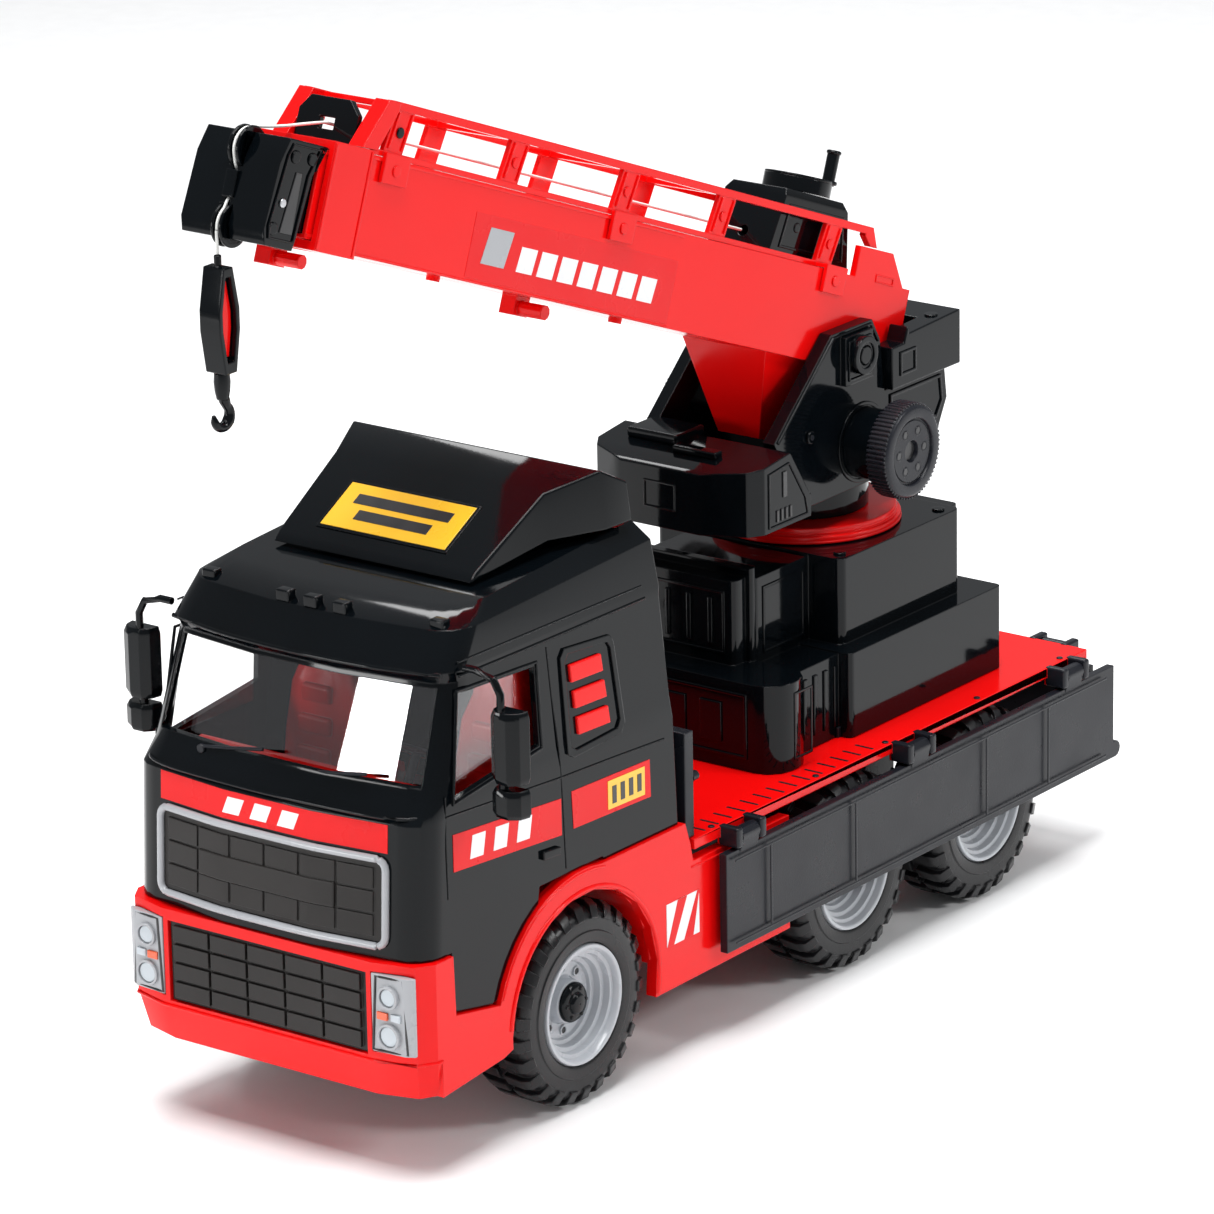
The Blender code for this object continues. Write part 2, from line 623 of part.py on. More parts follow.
def turret_hood():
    """The engine cover in front of the cheeks: bowed in front, cut back along their edge."""
    plan = mirrored([(46.5, 83.4), (46.5, 47.0), (42.0, 40.0), (22.0, 31.0)])
    body = prism("z", plan, TURRET_BASE[0] + 1.0, 238.5)
    above = prism("x", [(20.0, 229.0), (34.0, 233.5), (44.0, 235.0), (67.5, 238.0), (82.5, 215.0),
                        (90.0, 215.0), (90.0, 260.0), (20.0, 260.0)], -60, 60)
    rooms = [box((-43.5, 47.0, 200.0), (43.5, 64.0, 232.0)), box((-43.5, 60.0, 200.0), (43.5, 80.0, 212.0))]
    part("turret_hood", combine(body, cuts=[above] + rooms), "black_plastic")


def counterweight():
    """A U-shaped weight round the back of the cheeks, clear of the boom's heel."""
    front, bight, rear, low, high = 157.0, 192.0, 212.8, 244.0, 270.3
    arm_outer, arm_inner = 40.5, 30.0
    plan = [(arm_inner, front), (arm_outer, front), (arm_outer, rear), (-arm_outer, rear),
            (-arm_outer, front), (-arm_inner, front), (-arm_inner, bight), (arm_inner, bight)]
    step = prism("x", [(150.0, 264.0), (167.0, 264.4), (173.0, 280.0), (150.0, 280.0)], -60, 60)
    slope = prism("x", [(171.0, 268.4), (216.0, high), (216.0, 280.0), (171.0, 280.0)], -60, 60)
    part("counterweight", combine(prism("z", plan, low, high + 1), cuts=[step, slope]), "black_plastic")


def boom_pivot():
    reach = CHEEK_X[1] + 2.0
    part("boom_pivot_pin", disc("x", (0, 0), PIN_RADIUS, -reach, reach, 16), "steel", at=(0, *PIVOT))


def luffing_gear():
    """The cross shaft and the knob on each of its ends."""
    axis = empty("luffing_axis", (0, *KNOB_AXIS))
    inner, outer = KNOB_X
    reach = inner + 4.0
    part("luffing_shaft", disc("x", (0, 0), SHAFT_RADIUS, -reach, reach, 12), "satin_black", axis)
    bore, hub, rim = SHAFT_RADIUS + GAP, 15.5, KNOB_RADIUS - 2.0
    profile = [(bore, inner), (rim, inner), (KNOB_RADIUS, inner + 2), (KNOB_RADIUS, outer - 2),
               (rim, outer), (hub, outer), (hub, outer - 1.5), (bore, outer - 1.5)]
    for side, sign in SIDES.items():
        part(f"luffing_knob_{side}", turned(profile, 28, sign), "satin_black", axis)


# ---------------------------------------------------------------- boom

def boom_frame():
    return empty("boom_frame", (0, *PIVOT), -BOOM_ANGLE)


def heel(sign):
    """The raised side of the outer boom's rear end."""
    outline = [(-1.0, 30.0), (-1.0, 48.7), (26.5, 48.9), (44.0, 30.0)]
    return prism("x", outline, *span(sign, 25.6, REAR_X))


def boom_outer(frame):
    plan = mirrored([(OUTER_X, COLLAR_Y[0] + 5), (OUTER_X, -134.0), (REAR_X, -87.0), (REAR_X, 46.0)])
    body = prism("z", plan, *OUTER_Z)
    collar = box((-OUTER_X - 0.8, COLLAR_Y[0], COLLAR_Z[0]), (OUTER_X + 0.8, COLLAR_Y[1], COLLAR_Z[1]))
    leg = loft([[(x, y, z) for x, y in ((-w, front), (w, front), (w, rear), (-w, rear))]
                for z, w, front, rear in ((-7.0, 23.5, -53.0, -4.0), (-47.0, 11.5, -26.0, -5.0))])
    lug = box((-7.0, -216.0, -16.5), (1.0, -206.0, -7.0))
    peg = disc("x", (-211.0, -13.0), 3.4, 0.0, 14.0, 10)
    rivets = [disc("z", (13.0, y), 3.0, -10.5, -7.0, 10) for y in (-293.6, -157.6)]
    adds = [collar, leg, lug, peg] + rivets + [heel(sign) for sign in SIDES.values()]
    room = 0.5
    bay = box((-INNER_X - room, COLLAR_Y[0] - 2, INNER_Z[0] - room),
              (INNER_X + room, -100.0, INNER_Z[1] + room))
    rear_bay = box((-25.6, -80.0, -5.5), (25.6, 50.0, 31.5))
    peg_slot = box((-9.0, COLLAR_Y[0] - 2, -12.0), (9.0, COLLAR_Y[1] - 4, 0.0))
    bore = disc("x", (0, 0), BORE_RADIUS, -35, 35, 16)
    made = combine(body, adds, [bay, rear_bay, peg_slot, bore])
    part("boom_outer", made, "red_plastic", frame)


def lattice_side(sign):
    """One side of the rail frame: a sill, leaning posts, pads, the rail and its bent ends."""
    deck = OUTER_Z[1] + GAP
    sill_end, rail_front, rail_end = -4.0, -358.0, 13.5
    top = RAIL_Z[1]
    pieces = [
        side_box(sign, (21.2, RAIL_X[1]), (COLLAR_Y[1] + GAP, sill_end), (deck, deck + 2.5)),
        side_box(sign, RAIL_X, (rail_front, rail_end), RAIL_Z),
        prism("x", [(-373.0, COLLAR_Z[1] + GAP), (-363.0, COLLAR_Z[1] + GAP), (-353.5, RAIL_Z[0]),
                    (-353.5, top - 0.3), (-361.0, top - 0.3)], *span(sign, 16.5, 24.4)),
        prism("x", [(8.0, RAIL_Z[0] - 1), (14.0, 49.6), (19.5, 49.6), (rail_end, top), (8.0, top)],
              *span(sign, *RAIL_X)),
    ]
    for post in POSTS:
        outline = [(post - 8.0, deck + 1.0), (post + 5.0, deck + 1.0), (post + 9.0, top - 1.0),
                   (post - 4.0, top - 1.0)]
        pieces.append(prism("x", outline, *span(sign, 21.5, RAIL_X[1] - 0.3)))
    for number, wall in PADS:
        along = (POSTS[number] - 8.0, POSTS[number] + 9.0)
        pieces.append(side_box(sign, (22.0, wall + 2.2), along, (deck, deck + 2.0)))
        pieces.append(side_box(sign, (wall + GAP, wall + 2.2), along, (24.0, deck + 1.5)))
    return pieces


def boom_lattice(frame):
    """The rail frame clipped along the top of the outer boom."""
    ties = [box((-22.0, post, RAIL_Z[0] + 0.4), (22.0, post + 6.0, RAIL_Z[1] - 0.4)) for post in POSTS[:4]]
    sides = [piece for sign in SIDES.values() for piece in lattice_side(sign)]
    part("boom_lattice", combine(ties[0], adds=sides + ties[1:]), "red_plastic", frame)


def boom_inner(frame):
    """The telescopic section, a square tube with a pull peg under its front end."""
    front, rear = -396.0, -150.0
    peg_y, peg_z = -384.6, -15.0
    body = box((-INNER_X, front, INNER_Z[0]), (INNER_X, rear, INNER_Z[1]))
    hollow = box((-INNER_X + WALL, front - 5, INNER_Z[0] + WALL),
                 (INNER_X - WALL, rear + 5, INNER_Z[1] - WALL))
    lug = box((-7.0, peg_y - 5.5, peg_z - 3.6), (1.0, peg_y + 5.5, INNER_Z[0] + 1.0))
    peg = disc("x", (peg_y, peg_z), 3.2, 0.0, 14.0, 10)
    part("boom_inner", combine(body, [lug, peg], [hollow]), "red_plastic", frame)


def boom_head(frame):
    """The sheave block that caps the inner boom, slotted for both sheaves."""
    outline = [(-422.0, 22.0), (-418.0, 33.0), (-392.8, 33.0), (-399.0, 19.7), (-402.0, -8.0),
               (-403.0, -12.0), (-421.5, -12.0), (-424.0, -6.0)]
    body = prism("x", outline, -22.0, 22.0)
    rear = -380.0
    plug = INNER_X - WALL - GAP
    tongue = box((-plug, -405.0, INNER_Z[0] + WALL + GAP), (plug, rear, INNER_Z[1] - WALL - GAP))
    sleeve = box((-INNER_X - GAP, -398.0, INNER_Z[0] - GAP), (INNER_X + GAP, rear - 5, INNER_Z[1] + GAP))
    slots = [disc("x", centre, SHEAVE_RADIUS + 1.4, -3.4, 3.4, 20) for centre in (UPPER_SHEAVE, LOWER_SHEAVE)]
    slots.append(box((-1.2, -430.0, -2.0), (1.2, -415.0, 24.0)))
    made = combine(body, cuts=[sleeve])
    part("boom_head", combine(made, [tongue], slots), "black_plastic", frame)


def sheaves(frame):
    groove = [(0.9, 2.8), (SHEAVE_RADIUS, 2.8), (SHEAVE_RADIUS - 1.6, 0.9), (SHEAVE_RADIUS - 1.6, -0.9),
              (SHEAVE_RADIUS, -2.8), (0.9, -2.8)]
    for name, place in (("upper_sheave", UPPER_SHEAVE), ("lower_sheave", LOWER_SHEAVE)):
        part(name, turned(groove, 18), "satin_black", frame, (0, *place))


def cord_guide(frame):
    """The bridge between the rail frame's front ends, with a window for the cord."""
    foot = COLLAR_Z[1] + GAP
    outline = mirrored([(15.8, foot), (15.8, 49.0), (10.5, 55.0)])
    window = box((-4.0, -380.0, CORD_Z - 2.5), (4.0, -340.0, CORD_Z + 2.5))
    body = prism("y", outline, -369.5, -366.0)
    part("cord_guide", combine(body, cuts=[window]), "black_plastic", frame)


def winch(frame):
    """Housing on the boom's deck, with the drum inside and the crank on top."""
    low, half, wall = OUTER_Z[1] + GAP, 17.0, 2.2
    levels = ((low, half, -57.0, 10.0), (WINCH_TOP - 4, half, -51.5, 0.8), (WINCH_TOP, half - 2, -49.0, -2.0))
    shell = loft([[(x, y, z) for x, y in ((-w, f), (w, f), (w, r), (-w, r))] for z, w, f, r in levels])
    cavity = box((-half + wall, -47.0, low - 1), (half - wall, -3.5, WINCH_TOP - 3.0))
    stem_hole = disc("z", (0, WINCH_Y), 3.6, WINCH_TOP - 10, WINCH_TOP + 2, 14)
    cord_hole = disc("y", (0, CORD_Z), 2.6, -60.0, -40.0, 10)
    part("winch_housing", combine(shell, cuts=[cavity, stem_hole, cord_hole]), "black_plastic", frame)
    rows = ((11.5, 36.5), (11.5, 39.0), (5.0, 39.5), (5.0, 57.5), (11.5, 58.0), (11.5, 60.0))
    drum = loft([[(x, y, z) for x, y in arc((0, 0), r, 0, 342, 19)] for r, z in rows])
    part("winch_drum", drum, "satin_black", frame, (0, WINCH_Y, 0))
    plate = disc("z", (0, 0), 16.0, WINCH_TOP + GAP, WINCH_TOP + 7.0, 28)
    stem = disc("z", (0, 0), 3.2, 60.3, WINCH_TOP + 1.0, 14)
    handle = disc("z", (11.0, 8.0), 3.0, WINCH_TOP + 6.0, WINCH_TOP + 22.0, 12)
    part("winch_crank", combine(plate, adds=[stem, handle]), "black_plastic", frame, (0, WINCH_Y, 0))


def cord_run(frame):
    """The cord along the boom: to the guide, and on from it to the upper sheave."""
    high = UPPER_SHEAVE[1] + SHEAVE_RADIUS + CORD_RADIUS + 0.6
    split = -371.0
    run = [(0, -58.0, CORD_Z), (0, -210.0, CORD_Z), (0, split, CORD_Z)]
    lead = [(0, split - GAP, CORD_Z - 0.1), (0, -396.0, 38.5), (0, UPPER_SHEAVE[0] + 3, high)]
    part("cord_run", rod(run, CORD_RADIUS), "white_cord", frame)
    part("cord_lead", rod(lead, CORD_RADIUS), "white_cord", frame)


# ---------------------------------------------------------------- hook

def hook_parts():
    centre = empty("hook_line", (0, HOOK_Y, 0))
    low, high = BLOCK_Z
    part("cord_drop", rod([(0, 0, 410.0), (0, 0, 405.0), (0, 0, HOOK_TOP + 1.2)], CORD_RADIUS),
         "white_cord", centre)
    outline = [(-3.0, high), (3.0, high), (6.5, 377.0), (6.5, 368.0), (3.6, low), (-3.6, low), (-6.5, 368.0),
               (-6.5, 377.0)]
    window = [(-1.6, high - 4), (1.6, high - 4), (4.2, 376.5), (4.2, 368.5), (2.0, low + 5), (-2.0, low + 5),
              (-4.2, 368.5), (-4.2, 376.5)]
    body = prism("x", outline, -5.5, 5.5)
    eye = rod([(0, 0, high - 1.0), (0, 0, HOOK_TOP + 0.8)], 1.7)
    part("hook_block", combine(body, adds=[eye], cuts=[prism("x", window, -8, 8)]), "black_plastic", centre)
    inset = [(y * 0.86, z * 0.9 + 37.2) for y, z in window]
    part("hook_block_core", prism("x", inset, -3.0, 3.0), "red_plastic", centre)
    turn = [(y, z + 331.0) for y, z in arc((0.4, 0), 6.0, 100, -150, 12)]
    path = [(0, 0, low - GAP), (0, 0, 342.0), (0, -0.4, 338.5)] + [(0, -y, z) for y, z in turn]
    part("hook", rod(path, 1.9, 8), "black_plastic", centre)


def build():
    clear_scene()
    wheels()
    chassis()
    lower_body()
    cab_shell()
    roof_deflector()
    cab_glazing()
    grilles()
    headlamps()
    cab_interior()
    mirrors()
    bed_platform()
    boards()
    headboard()
    pedestal()
    turntable()
    turret_frame()
    turret_hood()
    counterweight()
    boom_pivot()
    luffing_gear()
    frame = boom_frame()
    boom_outer(frame)
    boom_lattice(frame)
    boom_inner(frame)
    boom_head(frame)
    sheaves(frame)
    cord_guide(frame)
    winch(frame)
    cord_run(frame)
    hook_parts()


build()
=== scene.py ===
"""Looks of the toy crane truck: plastics, tyres, glazing, trim and markings around the CAD frame.

Lengths are in millimetres in the frame's own axes until mesh_from() makes a mesh, which is in
metres. The truck faces -Y and its left side is +X. Boom pieces are drawn in the boom's own frame:
X across, Y backwards along the boom and Z square to it, with the origin on the boom's pivot.
"""

import json
import math

import bmesh
import bpy
from mathutils import Matrix, Vector

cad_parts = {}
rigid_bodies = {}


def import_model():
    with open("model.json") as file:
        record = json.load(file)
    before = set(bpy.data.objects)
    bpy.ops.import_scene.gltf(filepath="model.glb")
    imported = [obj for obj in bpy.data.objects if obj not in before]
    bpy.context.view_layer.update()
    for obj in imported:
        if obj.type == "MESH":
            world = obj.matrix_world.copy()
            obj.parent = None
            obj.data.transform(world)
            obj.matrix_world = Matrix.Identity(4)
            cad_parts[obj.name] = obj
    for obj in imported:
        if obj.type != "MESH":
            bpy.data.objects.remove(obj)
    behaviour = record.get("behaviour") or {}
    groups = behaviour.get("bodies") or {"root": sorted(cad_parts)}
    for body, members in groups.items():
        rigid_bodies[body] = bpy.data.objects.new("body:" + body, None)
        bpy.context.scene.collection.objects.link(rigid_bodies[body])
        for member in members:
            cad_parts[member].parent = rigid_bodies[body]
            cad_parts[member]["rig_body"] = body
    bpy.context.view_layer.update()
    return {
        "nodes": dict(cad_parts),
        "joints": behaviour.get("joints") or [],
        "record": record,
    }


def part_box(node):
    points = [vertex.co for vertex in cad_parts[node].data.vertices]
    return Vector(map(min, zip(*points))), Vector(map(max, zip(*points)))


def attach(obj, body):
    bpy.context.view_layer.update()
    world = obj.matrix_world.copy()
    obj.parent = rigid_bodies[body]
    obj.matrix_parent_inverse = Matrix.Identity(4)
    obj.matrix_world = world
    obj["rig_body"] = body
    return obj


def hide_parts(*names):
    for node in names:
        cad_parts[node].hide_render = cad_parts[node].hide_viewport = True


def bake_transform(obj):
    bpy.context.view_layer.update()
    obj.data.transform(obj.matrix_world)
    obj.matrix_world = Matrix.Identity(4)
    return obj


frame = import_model()

MM = 0.001
SIDES = {"left": 1, "right": -1}
BOTH = (1, -1)
NODES = frame["nodes"]
JOINTS = {joint["name"]: joint for joint in frame["joints"]}
SLOT_OF_NODE = {entry["node"]: entry["material_slot"] for entry in frame["record"]["subparts"]}


# ---------------------------------------------------------------- places from the frame

def low_high(node):
    """The lowest and highest corners of a CAD node in millimetres."""
    low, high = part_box(node)
    return Vector(low) / MM, Vector(high) / MM


def joint_place(name):
    return Vector(JOINTS[name]["pos_m"]) / MM


def boom_matrix():
    """The boom's own frame, from its pivot and from the way that it extends."""
    back = -Vector(JOINTS["boom_extend"]["axis"]).normalized()
    across = Vector((1, 0, 0))
    up = across.cross(back)
    turned_axes = Matrix((across, back, up)).transposed().to_4x4()
    return Matrix.Translation(joint_place("boom_luff")) @ turned_axes


BOOM = boom_matrix()
TURRET = joint_place("turret_slew")
KNOB = joint_place("luffing_knobs_turn")
WHEEL_Z = joint_place("front_wheels_roll").z
WHEEL_RADIUS = WHEEL_Z
FRONT_AXLE_Y = joint_place("front_wheels_roll").y
WEB_HOLE_CIRCLE, WEB_HOLES = 14.2, 8
CORD_RADIUS = 0.7
ARCH_RADIUS = 52
SKIRT_X = 82
UPPER_SHEAVE = (-417.6, 26.3)
LOWER_SHEAVE = (-418.6, -6.2)
WINCH = (0, -19.6)
POSTS = (-350.6, -267.6, -183.6, -108, -20)
WALL_AT_POST = {-350.6: 26.2, -183.6: 26.2, -20: 31}


# ---------------------------------------------------------------- materials

def shader_nodes(name):
    made = bpy.data.materials.new(name)
    made.use_nodes = True
    return made, made.node_tree.nodes, made.node_tree.links, made.node_tree.nodes["Principled BSDF"]


def noise(nodes, links, scale, detail=3, stretch=None):
    """A noise texture in object space, optionally stretched along one axis."""
    place = nodes.new("ShaderNodeTexCoord")
    made = nodes.new("ShaderNodeTexNoise")
    made.inputs["Scale"].default_value = scale
    made.inputs["Detail"].default_value = detail
    if stretch:
        mapping = nodes.new("ShaderNodeMapping")
        mapping.inputs["Scale"].default_value = stretch
        links.new(place.outputs["Object"], mapping.inputs["Vector"])
        links.new(mapping.outputs["Vector"], made.inputs["Vector"])
    else:
        links.new(place.outputs["Object"], made.inputs["Vector"])
    return made


def ramp(nodes, links, source, stops):
    made = nodes.new("ShaderNodeValToRGB")
    made.color_ramp.elements[0].position, made.color_ramp.elements[0].color = stops[0][0], stops[0][1]
    made.color_ramp.elements[1].position, made.color_ramp.elements[1].color = stops[1][0], stops[1][1]
    links.new(source, made.inputs["Fac"])
    return made


def grey(value):
    return (value, value, value, 1)


def shade(colour, factor=1):
    return tuple(min(1, c * factor) for c in colour) + (1,)


def rounding_and_edge_highlight(nodes, links, radius):
    """The rounded normal of moulded edges, and a mask that is 1 on those edges, where the colour is lifted as
    a painted edge highlight that also stands for wear.
    """
    rounding = nodes.new("ShaderNodeBevel")
    rounding.samples = 4
    rounding.inputs["Radius"].default_value = radius * MM
    face = nodes.new("ShaderNodeNewGeometry")
    likeness = nodes.new("ShaderNodeVectorMath")
    likeness.operation = "DOT_PRODUCT"
    links.new(rounding.outputs["Normal"], likeness.inputs[0])
    links.new(face.outputs["Normal"], likeness.inputs[1])
    # Mask of the rounded edges, which get the painted edge highlight.
    mask = ramp(nodes, links, likeness.outputs["Value"], ((0.9, grey(1)), (0.995, grey(0))))
    return rounding, mask


def plastic(name, colour, roughness=0.2, coat=0.4, edge=0.6, grain=0.02, grain_scale=900, mottle=0.12,
            edge_wear_and_highlight=0.25, shine=0.5):
    """Moulded plastic: faint flow marks, scuffed roughness, fine skin grain, and rounded edges painted lighter
    as a painted edge highlight that also stands for wear.
    """
    made, nodes, links, shader = shader_nodes(name)
    rounding, mask = rounding_and_edge_highlight(nodes, links, edge)
    flow = noise(nodes, links, 14, 4, (1, 0.35, 1))
    body = ramp(nodes, links, flow.outputs["Fac"],
                ((0.3, shade(colour, 1 - mottle)), (0.7, shade(colour, 1 + mottle))))
    # Every edge is painted lighter: a painted edge highlight, also meant as edge wear.
    edge_wear_and_highlight_colour = tuple(c + (1 - c) * edge_wear_and_highlight * 0.35 for c in colour) + (1,)
    edge_wear_and_highlight_mix = nodes.new("ShaderNodeMix")
    edge_wear_and_highlight_mix.data_type = "RGBA"
    edge_wear_and_highlight_mix.inputs["B"].default_value = edge_wear_and_highlight_colour
    links.new(mask.outputs["Color"], edge_wear_and_highlight_mix.inputs["Factor"])
    links.new(body.outputs["Color"], edge_wear_and_highlight_mix.inputs["A"])
    links.new(edge_wear_and_highlight_mix.outputs["Result"], shader.inputs["Base Color"])
    scuff = noise(nodes, links, 45, 6)
    rough = ramp(nodes, links, scuff.outputs["Fac"],
                 ((0.35, grey(roughness * 0.8)), (0.75, grey(min(1, roughness * 1.35)))))
    links.new(rough.outputs["Color"], shader.inputs["Roughness"])
    skin = noise(nodes, links, grain_scale, 2)
    bump = nodes.new("ShaderNodeBump")
    bump.inputs["Strength"].default_value = grain * 5
    bump.inputs["Distance"].default_value = 0.0002
    links.new(skin.outputs["Fac"], bump.inputs["Height"])
    links.new(rounding.outputs["Normal"], bump.inputs["Normal"])
    links.new(bump.outputs["Normal"], shader.inputs["Normal"])
    shader.inputs["Coat Weight"].default_value = coat
    shader.inputs["Coat Roughness"].default_value = 0.06
    shader.inputs["Specular IOR Level"].default_value = shine
    shader.inputs["IOR"].default_value = 1.5
    return made


def rubber(name, colour):
    """Dull tyre rubber with a dusty tint that comes and goes."""
    made = plastic(name, colour, 0.3, 0, 0.5, 0.06, 1400, 0.25, 0.05, 0.3)
    made.node_tree.nodes["Principled BSDF"].inputs["Sheen Weight"].default_value = 0.03
    return made


def clear(name):
    """Clear glazing: nearly all light passes, and the rest is mirrored."""
    made, nodes, links, shader = shader_nodes(name)
    shader.inputs["Base Color"].default_value = (0.98, 0.98, 1, 1)
    shader.inputs["Metallic"].default_value = 1
    shader.inputs["Alpha"].default_value = 0.07
    haze = noise(nodes, links, 30, 5)
    rough = ramp(nodes, links, haze.outputs["Fac"], ((0.4, grey(0.01)), (0.8, grey(0.02))))
    links.new(rough.outputs["Color"], shader.inputs["Roughness"])
    return made


def metal(name, colour, roughness=0.3):
    made, nodes, links, shader = shader_nodes(name)
    shader.inputs["Metallic"].default_value = 1
    brush = noise(nodes, links, 500, 3, (0.05, 1, 1))
    tint = ramp(nodes, links, brush.outputs["Fac"], ((0.3, shade(colour, 0.8)), (0.7, shade(colour))))
    links.new(tint.outputs["Color"], shader.inputs["Base Color"])
    rough = ramp(nodes, links, brush.outputs["Fac"], ((0.3, grey(roughness)), (0.7, grey(roughness * 1.5))))
    links.new(rough.outputs["Color"], shader.inputs["Roughness"])
    return made


def braid(name, colour):
    """Braided cord: crossing waves that give both shade and relief."""
    made, nodes, links, shader = shader_nodes(name)
    place = nodes.new("ShaderNodeTexCoord")
    wave = nodes.new("ShaderNodeTexWave")
    wave.inputs["Scale"].default_value = 900
    wave.inputs["Distortion"].default_value = 2
    wave.bands_direction = "DIAGONAL"
    links.new(place.outputs["Object"], wave.inputs["Vector"])
    tint = ramp(nodes, links, wave.outputs["Fac"], ((0.1, shade(colour, 0.72)), (0.6, shade(colour))))
    links.new(tint.outputs["Color"], shader.inputs["Base Color"])
    bump = nodes.new("ShaderNodeBump")
    bump.inputs["Strength"].default_value = 0.4
    bump.inputs["Distance"].default_value = 0.0002
    links.new(wave.outputs["Fac"], bump.inputs["Height"])
    links.new(bump.outputs["Normal"], shader.inputs["Normal"])
    shader.inputs["Roughness"].default_value = 0.8
    return made


RED = plastic("moulded_red", (0.80, 0.003, 0.003), 0.16, 0, 0.7, 0.014, 800, 0.05, 0.05, 0.22)
BLACK = plastic("moulded_black", (0.0016, 0.0026, 0.0036), 0.07, 0, 0.8, 0.006, 700, 0.3, 0.01, 0.2)
SATIN = plastic("satin_grey", (0.009, 0.010, 0.014), 0.3, 0, 0.6, 0.05, 1300, 0.2, 0.05, 0.25)
GREY = plastic("rim_grey", (0.42, 0.44, 0.47), 0.28, 0.3, 0.5, 0.02, 900, 0.08, 0.3)
TYRE = rubber("tyre_black", (0.005, 0.005, 0.006))
GRILLE = plastic("grille_brown", (0.014, 0.012, 0.011), 0.35, 0, 0.5, 0.03, 1000, 0.2, 0.1, 0.25)
SILVER = plastic("silver_frame", (0.36, 0.37, 0.39), 0.25, 0.3, 0.4, 0.01, 900, 0.06, 0.3)
LAMP = plastic("lamp_white", (0.48, 0.53, 0.57), 0.12, 0.8, 0.4, 0.01, 700, 0.08, 0.3)
AMBER = plastic("amber_lens", (0.80, 0.09, 0.01), 0.12, 0.8, 0.3, 0.01, 700, 0.08, 0.3)
GLAZING = clear("clear_glazing")
STEEL = metal("pin_steel", (0.60, 0.61, 0.63))
CORD = braid("white_braid", (0.86, 0.86, 0.83))
WHITE_PRINT = plastic("white_print", (0.80, 0.81, 0.82), 0.3, 0.3, 0.05, 0.02, 1200, 0.04, 0)
RED_PRINT = plastic("red_print", (0.74, 0.006, 0.008), 0.3, 0, 0.05, 0.02, 1200, 0.05, 0, 0.2)
YELLOW_PRINT = plastic("yellow_print", (0.86, 0.50, 0.01), 0.3, 0.4, 0.05, 0.02, 1200, 0.04, 0)
BLACK_PRINT = plastic("black_print", (0.012, 0.012, 0.013), 0.35, 0.2, 0.05, 0.02, 1200, 0.1, 0)
INTERIOR = plastic("seat_red", (0.78, 0.010, 0.008), 0.2, 0.4, 0.8, 0.03, 900, 0.1, 0.2)

FINISH_OF_SLOT = {
    "red_plastic": RED, "black_plastic": BLACK, "satin_black": SATIN, "grey_plastic": GREY,
    "tyre_black": TYRE, "clear_plastic": GLAZING, "silver_print": SILVER, "steel": STEEL,
    "white_cord": CORD,
}


# ---------------------------------------------------------------- forms: bmesh shapes in millimetres

def form(points, faces):
    made = bmesh.new()
    corners = [made.verts.new(p) for p in points]
    for face in faces:
        made.faces.new([corners[i] for i in face])
    bmesh.ops.recalc_face_normals(made, faces=made.faces)
    return made


def loft(rings, closed=False):
    """Skin through rings of points; closed joins the last ring to the first."""
    count = len(rings[0])
    points = [p for ring in rings for p in ring]
    faces = []
    last = len(rings) if closed else len(rings) - 1
    for r in range(last):
        s = (r + 1) % len(rings)
        for i in range(count):
            j = (i + 1) % count
            faces.append((r * count + i, r * count + j, s * count + j, s * count + i))
    if not closed:
        faces += [tuple(range(count))[::-1], tuple(range(len(points) - count, len(points)))]
    return form(points, faces)


def soften(made, edge, steps=2, least=30):
    """Rounds the sharp edges of a form."""
    if edge:
        sharp = [e for e in made.edges if e.is_manifold and e.calc_face_angle(0) > math.radians(least)]
        bmesh.ops.bevel(made, geom=sharp, offset=edge, segments=steps, profile=0.5, affect="EDGES",
                        clamp_overlap=True)
    return made


def on_axis(axis, a, b, depth):
    return {"x": (depth, a, b), "y": (a, depth, b), "z": (a, b, depth)}[axis]


def slab(axis, outline, low, high, edge=0.4):
    """A flat outline given a thickness along an axis, with rounded edges."""
    return soften(loft([[on_axis(axis, a, b, d) for a, b in outline] for d in (low, high)]), edge)


def rect(left, low, right, high):
    return [(left, low), (right, low), (right, high), (left, high)]


def block(low, high, edge=0.4):
    return slab("z", rect(low[0], low[1], high[0], high[1]), low[2], high[2], edge)


def arc(centre, radius, start, end, steps):
    turns = [math.radians(start + (end - start) * i / steps) for i in range(steps + 1)]
    return [(centre[0] + radius * math.cos(t), centre[1] + radius * math.sin(t)) for t in turns]


def ring_points(centre, radius, sides=24):
    return arc(centre, radius, 0, 360 - 360 / sides, sides - 1)


def disc(axis, centre, radius, low, high, edge=0.3, sides=28):
    return slab(axis, ring_points(centre, radius, sides), low, high, edge)


def frame_ring(axis, outer, inner, low, high, edge=0.2):
    """A flat frame between two outlines of the same number of points."""
    rings = [[on_axis(axis, a, b, d) for a, b in line]
             for line, d in ((outer, low), (outer, high), (inner, high), (inner, low))]
    return soften(loft(rings, closed=True), edge)


def hoop(axis, centre, outer, inner, low, high, edge=0.2, sides=24):
    """A flat ring between two radii."""
    lines = [ring_points(centre, radius, sides) for radius in (outer, inner)]
    return frame_ring(axis, *lines, low, high, edge)


def panel_frame(axis, outline, low, high, width, edge=0.25):
    """A raised rim that follows the inside of an outline."""
    centre = [sum(p[i] for p in outline) / len(outline) for i in (0, 1)]
    reach = [max(abs(p[i] - centre[i]) for p in outline) for i in (0, 1)]
    inner = [tuple(centre[i] + (p[i] - centre[i]) * (1 - width / reach[i]) for i in (0, 1)) for p in outline]
    return frame_ring(axis, outline, inner, low, high, edge)


